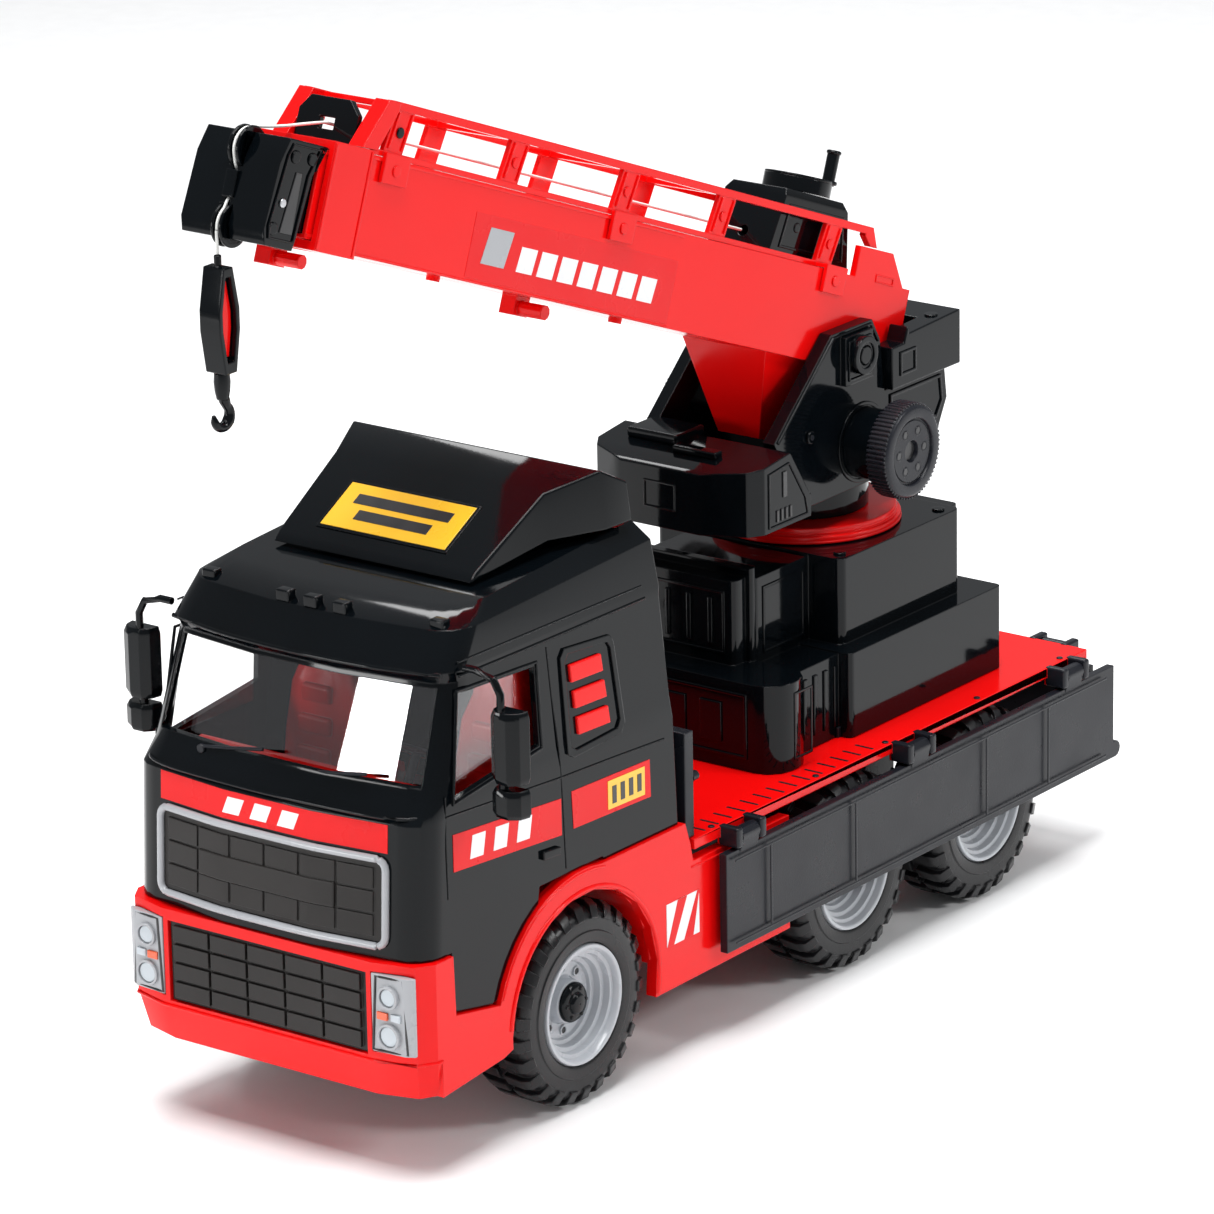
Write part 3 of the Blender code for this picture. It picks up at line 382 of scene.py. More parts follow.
def span(sign, near, far):
    """Two distances from the middle as the low and the high X on one side."""
    return sorted((sign * near, sign * far))


def side_slab(sign, outline, near, far, edge=0.4):
    return slab("x", outline, *span(sign, near, far), edge)


def side_disc(sign, centre, radius, near, far, edge=0.3, sides=28):
    return disc("x", centre, radius, *span(sign, near, far), edge, sides)


def side_rim(sign, outline, near, far, width):
    return panel_frame("x", outline, *span(sign, near, far), width)


def lathe(profile, sides=64, side=1):
    """(radius, x) points spun about X into a closed skin."""
    rings = []
    for i in range(sides):
        turn = 2 * math.pi * i / sides
        rings.append([(side * x, r * math.cos(turn), r * math.sin(turn)) for r, x in profile])
    return loft(rings, closed=True)


def tube(path, radius, sides=10, closed=False):
    """A round bar along a path that is already smooth."""
    rings = []
    count = len(path)
    for i, point in enumerate(path):
        after = path[(i + 1) % count] if closed or i + 1 < count else point
        before = path[i - 1] if closed or i else point
        ahead = (Vector(after) - Vector(before)).normalized()
        across = Vector((1, 0, 0)) - ahead * ahead.x
        if across.length < 0.3:
            across = Vector((0, 1, 0)) - ahead * ahead.y
        across.normalize()
        up = ahead.cross(across)
        turns = [2 * math.pi * k / sides for k in range(sides)]
        rings.append([Vector(point) + radius * (across * math.cos(t) + up * math.sin(t)) for t in turns])
    return loft(rings, closed)


def smooth_path(points, steps=6):
    """A Catmull-Rom curve through given points."""
    line = [Vector(p) for p in points]
    line = [line[0] * 2 - line[1]] + line + [line[-1] * 2 - line[-2]]
    path = []
    for i in range(1, len(line) - 2):
        a, b, c, d = line[i - 1:i + 3]
        for k in range(steps):
            t = k / steps
            path.append(0.5 * (2 * b + (c - a) * t + (2 * a - 5 * b + 4 * c - d) * t ** 2
                               + (3 * b - a - 3 * c + d) * t ** 3))
    return path + [line[-2]]


def subdivided(corners, parts):
    """A closed outline with each of its sides cut into parts."""
    count = len(corners)
    return [corners[i].lerp(corners[(i + 1) % count], k / parts) for i in range(count) for k in range(parts)]


def placed(made, matrix):
    made.transform(matrix)
    return made


def weigh_normals(mesh, limit=50):
    """Corner normals led by the larger faces, so that flat walls stay flat beside rounded edges."""
    mesh.shade_smooth()
    likeness = math.cos(math.radians(limit))
    around = [[] for _ in mesh.vertices]
    for face in mesh.polygons:
        for corner in face.vertices:
            around[corner].append((face.normal.copy(), face.area))
    normals = []
    for face in mesh.polygons:
        for corner in face.vertices:
            total = Vector((0, 0, 0))
            for normal, area in around[corner]:
                if normal.dot(face.normal) > likeness:
                    total += normal * area
            normals.append(total.normalized() if total.length else face.normal.copy())
    mesh.normals_split_custom_set(normals)


def mesh_from(name, forms, matrix=None):
    """One mesh in metres from several forms."""
    whole = bmesh.new()
    for shape in forms:
        part = bpy.data.meshes.new("part")
        bmesh.ops.recalc_face_normals(shape, faces=shape.faces)
        shape.to_mesh(part)
        whole.from_mesh(part)
        bpy.data.meshes.remove(part)
        shape.free()
    if matrix is not None:
        whole.transform(matrix)
    whole.transform(Matrix.Scale(MM, 4))
    mesh = bpy.data.meshes.new(name)
    whole.to_mesh(mesh)
    whole.free()
    weigh_normals(mesh)
    return mesh


def put(name, mesh, material, body, replaces=()):
    """Links a mesh as a piece of the model that rides on a body."""
    made = bpy.data.objects.new(name, mesh)
    bpy.context.scene.collection.objects.link(made)
    mesh.materials.clear()
    mesh.materials.append(material)
    if body:
        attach(made, body)
    if replaces:
        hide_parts(*replaces)
    return made


def piece(name, forms, material, body, matrix=None, replaces=()):
    return put(name, mesh_from(name, forms, matrix), material, body, replaces)


def boom_piece(name, forms, material, body="boom", replaces=()):
    return piece(name, forms, material, body, BOOM, replaces)


def refined(node, material=None, edge=0, steps=2):
    """A CAD node's own shape with its facets merged, its edges eased and its round walls smooth."""
    mesh = NODES[node].data.copy()
    work = bmesh.new()
    work.from_mesh(mesh)
    bmesh.ops.remove_doubles(work, verts=work.verts, dist=1e-6)
    bmesh.ops.dissolve_limit(work, angle_limit=math.radians(0.5), verts=work.verts, edges=work.edges)
    soften(work, edge * MM, steps)
    work.to_mesh(mesh)
    work.free()
    weigh_normals(mesh)
    finish = material or FINISH_OF_SLOT[SLOT_OF_NODE[node]]
    return put(node + "_skin", mesh, finish, NODES[node]["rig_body"], [node])


# ---------------------------------------------------------------- wheels

def tyre_forms(sign):
    """A rounded carcass with two staggered rows of shoulder lugs."""
    base, half, lugs = WHEEL_RADIUS - 2.6, 16, 26
    side = [(27.7, half - 1.5), (29, half - 0.6), (33, half - 0.4), (33.5, half - 1), (38, half - 0.9),
            (40.5, half - 1.6), (42.4, half - 3.4), (base, half - 6)]
    carcass = side + [(r, -x) for r, x in reversed(side)]
    forms = [lathe(carcass, 52, sign)]
    lug = [(base - 1, 1.2), (WHEEL_RADIUS, 1.2), (WHEEL_RADIUS, half - 6), (WHEEL_RADIUS - 1.6, half - 2.2),
           (39, half), (38.2, half - 0.8), (41, half - 3)]
    pitch = 2 * math.pi / lugs
    for flank in BOTH:
        for i in range(lugs):
            middle = pitch * (i + (0.5 if flank > 0 else 0))
            rings = []
            for edge in (-0.27, 0.27):
                ring = []
                for r, x in lug:
                    turn = middle + pitch * (edge + 0.25 * (x / half - 0.5) * flank)
                    ring.append((flank * x, r * math.cos(turn), r * math.sin(turn)))
                rings.append(ring)
            forms.append(soften(loft(rings), 0.35, 1, 50))
    return forms


def rim_forms(sign):
    """A deep stepped dish with a bored web."""
    face = [(2.4, 8.2), (9.2, 8.2), (9.8, 7.6), (10.4, 4), (11, 2.8), (17.2, 3.4), (17.8, 5.2), (19.6, 5.6),
            (20.2, 8.8), (22, 9.2), (22.6, 12.2), (24.2, 12.5), (24.9, 15), (25.6, 15.7), (26.8, 15.6),
            (27.3, 14.5)]
    back = [(27.3, -13.5), (24.5, -13.5), (19, -2), (2.4, -2)]
    forms = [lathe(face + back, 64, sign)]
    return forms + [hoop("x", centre, 2.3, 1.6, *span(sign, 2.6, 3.9), 0, 14)
                    for centre in ring_points((0, 0), WEB_HOLE_CIRCLE, WEB_HOLES)]


def hub_cap_forms(sign):
    """The black cap over the axle's end, with a boss and six studs."""
    dome = [(0.3, 8.3), (9, 8.3), (9, 9.6), (8, 10.8), (5, 11), (4.6, 12.4), (3.6, 13), (0.3, 13.1)]
    return [lathe(dome, 48, sign)] + [side_disc(sign, centre, 0.9, 10, 11.6, 0.2, 10)
                                      for centre in ring_points((0, 0), 6.8, 6)]


def web_hole_forms(sign):
    return [side_disc(sign, centre, 1.6, 2.7, 3.5, 0, 14)
            for centre in ring_points((0, 0), WEB_HOLE_CIRCLE, WEB_HOLES)]


def wheels():
    for axle in ("front", "middle", "rear"):
        body = axle + "_wheels"
        y = joint_place(axle + "_wheels_roll").y
        refined(axle + "_axle")
        for side, sign in SIDES.items():
            low, high = low_high(f"tyre_{axle}_{side}")
            place = Matrix.Translation(((low.x + high.x) / 2, y, WHEEL_Z))
            piece(f"{axle}_{side}_tyre", tyre_forms(sign), TYRE, body, place, [f"tyre_{axle}_{side}"])
            piece(f"{axle}_{side}_rim", rim_forms(sign), GREY, body, place, [f"rim_{axle}_{side}"])
            piece(f"{axle}_{side}_hub_cap", hub_cap_forms(sign), BLACK, body, place)
            piece(f"{axle}_{side}_web_holes", web_hole_forms(sign), BLACK_PRINT, body, place)


# ---------------------------------------------------------------- cab

def front_y(x, z):
    """The cab's front face: it leans back upwards and bows forward in the middle."""
    lean = min(1, max(0, (z - 98.5) / 59.5))
    bow = min(1, max(0, (66 - abs(x)) / 42))
    return -248 + 3 * lean - 5 * bow


def side_x(z):
    """Half the cab's width at a height."""
    levels = ((98.5, 80), (158, 80), (168, 79), (214, 76.5), (219, 77), (234, 74),
              (240, 66))
    for (low, near), (high, far) in zip(levels, levels[1:]):
        if z <= high:
            return near + (far - near) * (z - low) / (high - low)
    return levels[-1][1]


def front_patch(x_low, x_high, z_low, z_high, lift, lean=0):
    """A thin patch on the bowed front face; lean shifts its top edge sideways."""
    stops = [x_low] + [x for x in (-24, 24) if x_low < x < x_high] + [x_high]
    rings = []
    for x in stops:
        foot, top = front_y(x, z_low), front_y(x + lean, z_high)
        rings.append([(x, foot - lift, z_low), (x + lean, top - lift, z_high),
                      (x + lean, top + 0.4, z_high), (x, foot + 0.4, z_low)])
    return loft(rings)


def side_patch(sign, outline, lift, sink=0.4):
    """A thin patch on the cab's side from a (y, z) outline."""
    return loft([[(sign * (side_x(z) + out), y, z) for y, z in outline] for out in (lift, -sink)])


def side_line(sign, points, radius=0.4, steps=4):
    path = smooth_path([(sign * (side_x(z) + 0.05), y, z) for y, z in points], steps)
    return tube(path, radius, 6)


def seats():
    """Bucket seats: a cushion, a tapering back with side wings and a head rest."""
    for side, sign in SIDES.items():
        x = sign * 47
        forms = [block((x - 19, -186, 103.9), (x + 19, -146, 128), 3),
                 block((x - 13, -184, 127), (x + 13, -150, 130), 1.5)]
        shell = [(124, 20, 0), (150, 20, 3), (172, 18, 6), (184, 13, 8),
                 (200, 11, 10), (205, 8, 11)]
        rings = [[(x - w, -160 + lean, z), (x - w * 0.5, -163 + lean, z), (x + w * 0.5, -163 + lean, z),
                  (x + w, -160 + lean, z), (x + w, -146 + lean, z), (x - w, -146 + lean, z)]
                 for z, w, lean in shell]
        forms.append(soften(loft(rings), 2, 3, 25))
        for z, half, lean in ((138, 9, 1.5), (152, 9, 3.2), (166, 8, 5)):
            forms.append(block((x - half, -165 + lean, z), (x + half, -161 + lean, z + 8), 1.4))
        piece(f"{side}_seat", forms, INTERIOR, "truck", None, ["seat_" + side])


def cab_markings():
    band = [front_patch(-62, 62, 145, 157.6, 0.25)]
    door = [(-225, 134), (-225, 150.6), (-150.4, 144.6), (-150.4, 128)]
    sleeper = [(-142, 128.4), (-143, 145.6), (-87, 143.8), (-86.5, 126.5)]
    for sign in BOTH:
        band += [side_patch(sign, door, 0.25), side_patch(sign, sleeper, 0.25)]
    piece("red_bands", band, RED_PRINT, "truck")
    marks = [front_patch(x, x + 9, 147.6, 155, 0.4, 3) for x in (-24, -9, 6)]
    for sign in BOTH:
        for i, (y, foot) in enumerate(((-214, 136.6), (-198, 135.4), (-182, 134.2))):
            bar = [(y, foot), (y + 9, foot - 0.7), (y + 11, foot + 9.4), (y + 2, foot + 10.1)]
            marks.append(side_patch(sign, bar, 0.4))
    piece("white_marks", marks, WHITE_PRINT, "truck")
    plate = [(-117.5, 129.6), (-117.5, 142.6), (-91, 141.8), (-91, 128.8)]
    piece("side_plates", [side_patch(s, plate, 0.45) for s in BOTH], YELLOW_PRINT, "truck")
    rows = []
    for sign in BOTH:
        for y in (-114.5, -108.5, -102.5, -96.5):
            bar = [(y, 131.6), (y, 139.6), (y + 3, 139.5), (y + 3, 131.5)]
            rows.append(side_patch(sign, bar, 0.6))
    piece("side_plate_bars", rows, BLACK_PRINT, "truck")


def louvres():
    """The sleeper window's panel with its three red slats."""
    rim = [(-145, 163), (-146, 206), (-143, 209.5), (-111, 207), (-108.5, 203.5), (-104, 166),
           (-107, 162), (-141, 160.5)]
    centre_y, centre_z = -125.5, 184.5
    inner = [(centre_y + (y - centre_y) * 0.86, centre_z + (z - centre_z) * 0.88) for y, z in rim]
    frames, slats = [], []
    for sign in BOTH:
        rings = [[(sign * (side_x(z) + out), y, z) for y, z in line]
                 for line, out in ((rim, -0.3), (rim, 1), (inner, 1), (inner, -0.3))]
        frames.append(loft(rings, closed=True))
        for row in range(3):
            low = 169.5 + 12 * row
            shift = -1.4 * row
            slat = [(-137 + shift, low), (-137.5 + shift, low + 8), (-115.5 + shift, low + 7.2),
                    (-114.5 + shift, low - 0.8)]
            slats.append(soften(side_patch(sign, slat, 1.5), 0.5))
    piece("louvre_frames", frames, BLACK, "truck")
    piece("louvre_slats", slats, RED, "truck")


def cab_seams():
    """Door gaps, waist lines and gutters, the rim of the side window and the door handle."""
    seams = (([(-154, 213), (-152.5, 190), (-150, 160), (-147.5, 112)], 0.4),
             ([(-228, 168), (-229.5, 150), (-229, 123)], 0.4),
             ([(-229, 159.5), (-190, 156.8), (-150, 154)], 0.5),
             ([(-150, 154), (-110, 152), (-76, 150)], 0.5),
             ([(-214, 217), (-160, 216.4), (-84, 216)], 0.7),
             ([(-214, 223), (-160, 222.6), (-86, 222)], 0.5))
    window = [(-223.5, 163.6), (-216, 211), (-161.5, 208.6), (-161.5, 170.6)]
    handle = [(-165, 121), (-165, 125), (-153, 124), (-153, 120)]
    lines = []
    for sign in BOTH:
        lines += [side_line(sign, points, radius) for points, radius in seams]
        corners = [Vector((sign * (side_x(z) + 0.1), y, z)) for y, z in window]
        lines.append(tube(subdivided(corners, 6), 0.8, 8, closed=True))
        lines.append(soften(side_patch(sign, handle, 1.8), 0.5))
    piece("cab_seams", lines, BLACK, "truck")


def roof_details():
    """Marker lamps, roof ribs and the lip under the visor."""
    lamps = []
    for x, y, z in ((-62, -207.6, 236.7), (-15.5, -214.4, 237.8), (0, -215, 238),
                    (15.5, -214.4, 237.8), (62, -207.6, 236.7)):
        lamps.append(block((x - 3.6, y - 2.6, z - 4), (x + 3.6, y + 3, z + 1.2), 0.7))
    lip = [(-73, -221, 218.4), (-40, -228.2, 218.4), (0, -230.6, 218.4), (40, -228.2, 218.4),
           (73, -221, 218.4)]
    lamps.append(tube(smooth_path(lip, 8), 1.1, 8))
    ledge = [(-79, -228, 160.7), (-66, -244.6, 160.7), (-24, -249.6, 160.7), (24, -249.6, 160.7),
             (66, -244.6, 160.7), (79, -228, 160.7)]
    lamps.append(tube(smooth_path(ledge, 6), 0.9, 8))
    for x in (-7.5, 7.5):
        lamps.append(block((x - 0.6, -236, 165), (x + 0.6, -234.5, 170), 0.2))
    piece("roof_details", lamps, BLACK, "truck")


def wipers():
    """Two wiper arms lying along the foot of the windscreen."""
    forms = []
    for x in (-44, 12):
        blade = [(x, -239.5, 170), (x + 16, -240.2, 172.5), (x + 34, -239.2, 175)]
        forms.append(tube(smooth_path(blade, 6), 0.8, 6))
        forms.append(disc("y", (x, 169), 2, -240.6, -237, 0.4, 16))
    piece("wipers", forms, SATIN, "truck")


def deflector_plate():
    """The yellow plate on the roof deflector's slope, with plain bars for a marking."""
    foot, head = Vector((-2, -165, 250.8)), Vector((-2, -142, 263.4))
    up = (head - foot).normalized()
    across = Vector((1, 0, 0))
    out = across.cross(up)
    place = Matrix((across, up, out)).transposed().to_4x4()
    length = (head - foot).length
    deck = Matrix.Translation(foot + out * 0.5) @ place
    border = slab("z", rect(-35.5, -1.5, 35.5, length + 1.5), -1.5, 0.1, 0.1)
    plate = slab("z", rect(-34, 0, 34, length), -2, 0.4, 0.2)
    bars = [block((-26, length * 0.56, 0.2), (26, length * 0.78, 0.6), 0.1),
            block((-20, length * 0.22, 0.2), (20, length * 0.44, 0.6), 0.1)]
    piece("deflector_border", [placed(border, deck)], BLACK, "truck")
    piece("deflector_plate", [placed(plate, deck)], YELLOW_PRINT, "truck")
    piece("deflector_bars", [placed(bar, deck) for bar in bars], BLACK_PRINT, "truck")


def upper_grille():
    """A bright rim that follows the bowed front, round a dark panel of cells and a plain name plate."""
    outline = []
    for cx, cz, start in ((57, 137.6, 0), (-57, 137.6, 90), (-57, 108.4, 180), (57, 108.4, 270)):
        outline += arc((cx, cz), 4.6, start, start + 90, 4)
    dense = []
    for i, (x, z) in enumerate(outline):
        ahead = outline[(i + 1) % len(outline)]
        parts = 8 if abs(ahead[0] - x) > 20 else 1
        dense += [(x + (ahead[0] - x) * k / parts, z + (ahead[1] - z) * k / parts) for k in range(parts)]
    rim = [(x, front_y(x, z) - 0.9, z) for x, z in dense]
    piece("upper_grille_rim", [tube(rim, 1.7, 12, closed=True)], SILVER, "truck", None, ["upper_grille"])
    cells = [front_patch(-59.5, 59.5, 105.8, 140.4, 0.5)]
    for row in range(3):
        for column in range(6):
            left, low = -56.5 + 18.9 * column, 108 + 10.4 * row
            if row == 1 and 0 < column < 5:
                continue
            cells.append(soften(front_patch(left, left + 17.8, low, low + 9.4, 1.5), 0.4))
    cells.append(soften(front_patch(-37, 37, 117.6, 128.8, 2.2), 0.6))
    piece("upper_grille_cells", cells, GRILLE, "truck")


def front_end():
    """The upper grille, the lamps with their bezels, and the bumper's lower lip."""
    upper_grille()
    rims, lenses, ambers, edges = [], [], [], []
    for sign in BOTH:
        for z, radius in ((84, 5.2), (66.5, 5.8)):
            centre = (sign * 66.5, z)
            rims.append(hoop("y", centre, radius, radius - 1.1, -255.4, -252.6))
            lenses.append(disc("y", centre, radius - 1.3, -254.6, -252.6, 0.5))
        low, high = span(sign, 60.5, 66)
        ambers.append(block((low, -255, 73.6), (high, -253, 77), 0.3))
        low, high = span(sign, 67.5, 72.5)
        lenses.append(block((low, -254.4, 73.6), (high, -252.6, 77), 0.3))
        bezel = [(58, 59.4), (75, 59.4), (73, 92.6), (60, 92.6)]
        corners = [Vector((sign * x, -254.6 + 0.12 * (x - 57.5), z)) for x, z in bezel]
        edges.append(tube(subdivided(corners, 5), 0.6, 6, closed=True))
    piece("lamp_rims", rims, SILVER, "truck")
    piece("lamp_lenses", lenses, LAMP, "truck")
    piece("lamp_ambers", ambers, AMBER, "truck")
    piece("lamp_bezels", edges, BLACK_PRINT, "truck")
    lip = [(-82, -238), (-82, -241), (-77, -249), (-58, -254), (58, -254), (77, -249),
           (82, -241), (82, -238)]
    piece("bumper_lip", [tube([(x, y, 53.6) for x, y in lip], 0.8, 8)], RED, "truck")


def arches():
    """Rolled lips round the front wheels, the seams of the skirts and the hazard stripes behind the wheels."""
    lips, bars, field = [], [], []
    square = (-79, 54, -55, 74)
    for sign in BOTH:
        inner = arc((FRONT_AXLE_Y, WHEEL_Z), ARCH_RADIUS + 1.2, 174, -12, 30)
        outer = arc((FRONT_AXLE_Y, WHEEL_Z), 61.6, 76, 160, 18)
        for line, radius in ((inner, 1.3), (outer, 0.8)):
            lips.append(tube([(sign * (SKIRT_X - 0.3), y, z) for y, z in line], radius, 8))
        seam = [(-60, 86), (-40, 85.6), (8, 85.2)]
        lips.append(tube([(sign * (SKIRT_X - 0.1), y, z) for y, z in seam], 0.6, 6))
        field.append(side_slab(sign, rect(*square), SKIRT_X - 0.3, SKIRT_X + 0.3, 0.1))
        bars += [side_slab(sign, bar, SKIRT_X + 0.1, SKIRT_X + 0.45, 0) for bar in hazard_bars(*square)]
    piece("arch_lips", lips, RED, "truck")
    piece("hazard_field", field, WHITE_PRINT, "truck")
    piece("hazard_bars", bars, RED_PRINT, "truck")


def hazard_bars(left, low, right, high):
    """Two leaning stripes clipped to a square."""
    width = right - left
    return [[(left + width * a, low), (left + width * b, low),
             (left + width * c, high), (left + width * d, high)]
            for a, b, c, d in ((0, 0.2, 0.62, 0.34), (0.52, 0.8, 1, 0.94))]


def cab():
    for node, edge in (("lower_body", 0.6), ("cab_shell", 0.5), ("roof_deflector", 1.6),
                       ("headboard", 0.5), ("mirror_left", 0.4), ("mirror_right", 0.4),
                       ("headlamp_left", 0.5), ("headlamp_right", 0.5), ("chassis_frame", 0.6)):
        refined(node, edge=edge)
    refined("lower_grille", GRILLE, 0.5)
    refined("cab_glazing")
    refined("dashboard", INTERIOR, 1.5)
    refined("steering_wheel")
    seats()
    cab_markings()
    louvres()
    cab_seams()
    roof_details()
    wipers()
    deflector_plate()
    front_end()
    arches()
    glass = []
    for sign in BOTH:
        low, high = span(sign, 94, 107)
        for foot, top in ((178, 202), (161, 169.5)):
            glass.append(block((low, -208.3, foot), (high, -207.2, top), 0.3))
    piece("mirror_glasses", glass, SILVER, "truck")


# ---------------------------------------------------------------- bed and boards

def board_ribs():
    """Upright ribs and edge beads on the outer faces of the two side boards."""
    for side, sign in SIDES.items():
        low, high = low_high("side_board_" + side)
        face = max(abs(low.x), abs(high.x))
        near, far = span(sign, face - 0.6, face)
        forms = [block((near, y - 0.7, 46), (far, y + 0.7, 84), 0.25) for y in (-12, 54, 160, 212)]
        near, far = span(sign, face - 0.5, face)
        forms += [block((near, -39, z - 0.5), (far, 262, z + 0.5), 0.2) for z in (45.4, 84.2)]
        piece(f"{side}_board_ribs", forms, SATIN, side + "_board")


def hinge_covers():
    """Black clips over the bed's hinge ears."""
    forms = []
    ears, foot, top = (-11.05, 6.65), 89, 98.6
    for hinge in (-26.6, 107.1, 235.5):
        for y in (hinge + ear for ear in ears):
            for sign in BOTH:
                near, far = span(sign, 80, 91.3)
                forms.append(block((near, y, foot), (far, y + 4.4, top), 1.2))
    for hinge in (-60, 60):
        forms += [block((hinge + ear, 257.4, foot), (hinge + ear + 4.4, 268.7, top), 1.2) for ear in ears]
    piece("hinge_covers", forms, SATIN, "truck")


def bed():
    hinge_covers()
    for node, edge in (("bed_platform", 0.5), ("side_board_left", 0.4), ("side_board_right", 0.4),
                       ("tail_board", 0.4), ("pedestal", 0.8)):
        refined(node, edge=edge)
    board_ribs()
    treads = []
    for i in range(14):
        y = -46 + 10 * i
        treads += [block((s * 74 - 5, y, 97.8), (s * 74 + 5, y + 1.2, 98.3), 0.15) for s in BOTH]
    rivets = []
    for sign in BOTH:
        for y in (-40, 40, 95, 170, 240):
            rivets.append(disc("z", (sign * 78.4, y), 1.6, 97.6, 98.7, 0.5, 14))
    piece("bed_treads", treads, SATIN, "truck")
    piece("bed_rivets", rivets, SATIN, "truck")
    webs = []
    for sign in BOTH:
        for front, rear in ((88, 96), (196, 204)):
            webs.append(block((sign * 56 - 1.2, front, 98), (sign * 56 + 1.2, rear, 103), 0.3))
    piece("pedestal_webs", webs, SATIN, "truck")


# ---------------------------------------------------------------- pedestal and turret

def pedestal_details():
    """Panel rims, slats and corner screws on the pedestal's steps."""
    forms = []
    for sign in BOTH:
        forms.append(side_rim(sign, rect(41, 103, 55, 135), 65.8, 66.5, 1.2))
        for y in (62, 70, 78, 86):
            forms.append(side_slab(sign, rect(y, 104, y + 3, 133), 55.8, 56.8, 0.3))
        forms.append(side_rim(sign, rect(62, 142, 94, 174), 33.8, 34.6, 1.4))
    forms.append(panel_frame("y", rect(-50, 104, 50, 135), 26.2, 27.2, 1.6))
    forms.append(panel_frame("y", rect(-26, 145, 26, 175), 43.4, 44.2, 1.4))
    forms += [block((x - 1.2, 43, 149), (x + 1.2, 44.2, 171), 0.3) for x in (-18, -6, 6, 18)]
    forms += [block((x - 6, 26, 110), (x + 6, 27.2, 129), 0.4) for x in (-30, -10, 10, 30)]
    forms += [disc("z", (x, y), 3, 179.8, 181, 0.4, 16) for y in (106, 186) for x in (-46, 46)]
    piece("pedestal_panels", forms, BLACK, "truck")


def turntable_rings():
    centre = (0, TURRET.y)
    forms = [hoop("z", centre, 45.3, 43.3, 180.6, 181.6, 0.2, 64),
             hoop("z", centre, 43.3, 41.3, 184.6, 185.6, 0.2, 64),
             disc("z", centre, 45, 180.4, 184, 0.6, 72),
             disc("z", centre, 43, 183, 187.5, 0.6, 72)]
    piece("turntable_steps", forms, RED, NODES["turntable"]["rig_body"], None, ["turntable"])


def knob_forms(sign):
    """A ribbed wheel with a raised face ring and a drilled hub."""
    inner, outer = 53, 65
    body = [(4.6, inner), (19, inner), (21.4, inner + 0.8), (21.9, inner + 2), (21.9, outer - 2),
            (21.4, outer - 0.7), (20, outer), (16.2, outer), (15.7, outer - 0.5), (15.5, outer - 1.8),
            (14.6, outer - 1.8), (14.4, outer - 1.2), (5.2, outer - 1.2), (4.6, outer - 3.4), (1, outer - 3.6),
            (1, outer - 6), (4.6, outer - 6.5)]
    forms = [lathe(body, 72, sign)]
    for i in range(64):
        turn = 2 * math.pi * i / 64
        ring = []
        for r, flank in ((21.6, -0.75), (21.6, 0.75), (22.6, 0.5), (22.6, -0.5)):
            ring.append((r * math.cos(turn) - flank * math.sin(turn),
                         r * math.sin(turn) + flank * math.cos(turn)))
        forms.append(side_slab(sign, ring, inner + 0.8, outer - 0.9, 0.3))
    return forms + [hoop("x", centre, 2.2, 1.6, *span(sign, outer - 1.6, outer - 0.9), 0.15, 16)
                    for centre in ring_points((0, 0), 10, 6)]


def knob_hole_forms(sign):
    holes = [side_disc(sign, centre, 1.6, 63.2, 63.95, 0, 16) for centre in ring_points((0, 0), 10, 6)]
    return holes + [side_disc(sign, (0, 0), 4.4, 60.6, 61.9, 0, 24)]


def cheek_details():
    """Borders, screws and bearing rings on the turret's side plates."""
    forms, screws, holes = [], [], []
    face, lug = 36, (133, 267.1)
    border = [(72.2, 239), (115.8, 278), (146, 278), (151.6, 268.6)]
    heel = [(161, 220), (199, 220), (204, 228), (202.5, 240.6), (161, 240.6)]
    for sign in BOTH:
        forms.append(tube(smooth_path([(sign * 36.2, y, z) for y, z in border], 1), 0.7, 8))
        forms.append(side_rim(sign, heel, face, face + 0.8, 1.6))
        forms.append(hoop("x", (KNOB.y, KNOB.z), 19, 17.2, *span(sign, face, face + 0.8), 0.2, 40))
        for place, radius, bore in (((97, 236), 3, 1.3), ((170, 213), 2.6, 1.1)):
            screws.append(side_disc(sign, place, radius, face, face + 1.6, 0.5, 20))
            holes.append(side_disc(sign, place, bore, face + 1.2, face + 1.8, 0, 12))
        forms.append(side_rim(sign, rect(124, 256, 142, 275), 39, 39.7, 1))
        forms.append(hoop("x", lug, 9, 6, *span(sign, 42.3, 43.2), 0.25, 40))
        forms.append(side_disc(sign, lug, 4.2, 41, 42.9, 0.4))
    piece("cheek_borders", forms, BLACK, "turret")
    piece("cheek_screws", screws, BLACK, "turret")
    piece("cheek_screw_holes", holes, SATIN, "turret")


def hood_details():
    """A raised block and bar on the crown, a rim on the front, and rims, slots and vents on the sides."""
    forms = [block((-34, 52, 236), (-6, 74, 241), 1.2),
             block((-4, 46, 235.2), (20, 52, 238.6), 0.8),
             panel_frame("y", rect(-9, 213, 9, 226), 30.4, 31.5, 1)]
    slots = []
    cover = [(50, 206), (81, 206), (79, 214), (66, 234), (50, 232)]
    near, far = 46.2, 47.1
    for sign in BOTH:
        forms.append(side_rim(sign, cover, near, far, 1.1))
        slots.append(side_slab(sign, rect(61, 218.5, 64, 230.5), near, far, 0.2))
        for y in (56 + 3.4 * i for i in range(4)):
            slots.append(side_slab(sign, rect(y, 208, y + 1.5, 213.5), near, far, 0.2))
    piece("hood_rims", forms, BLACK, "turret")
    piece("hood_vents", slots, BLACK_PRINT, "turret")


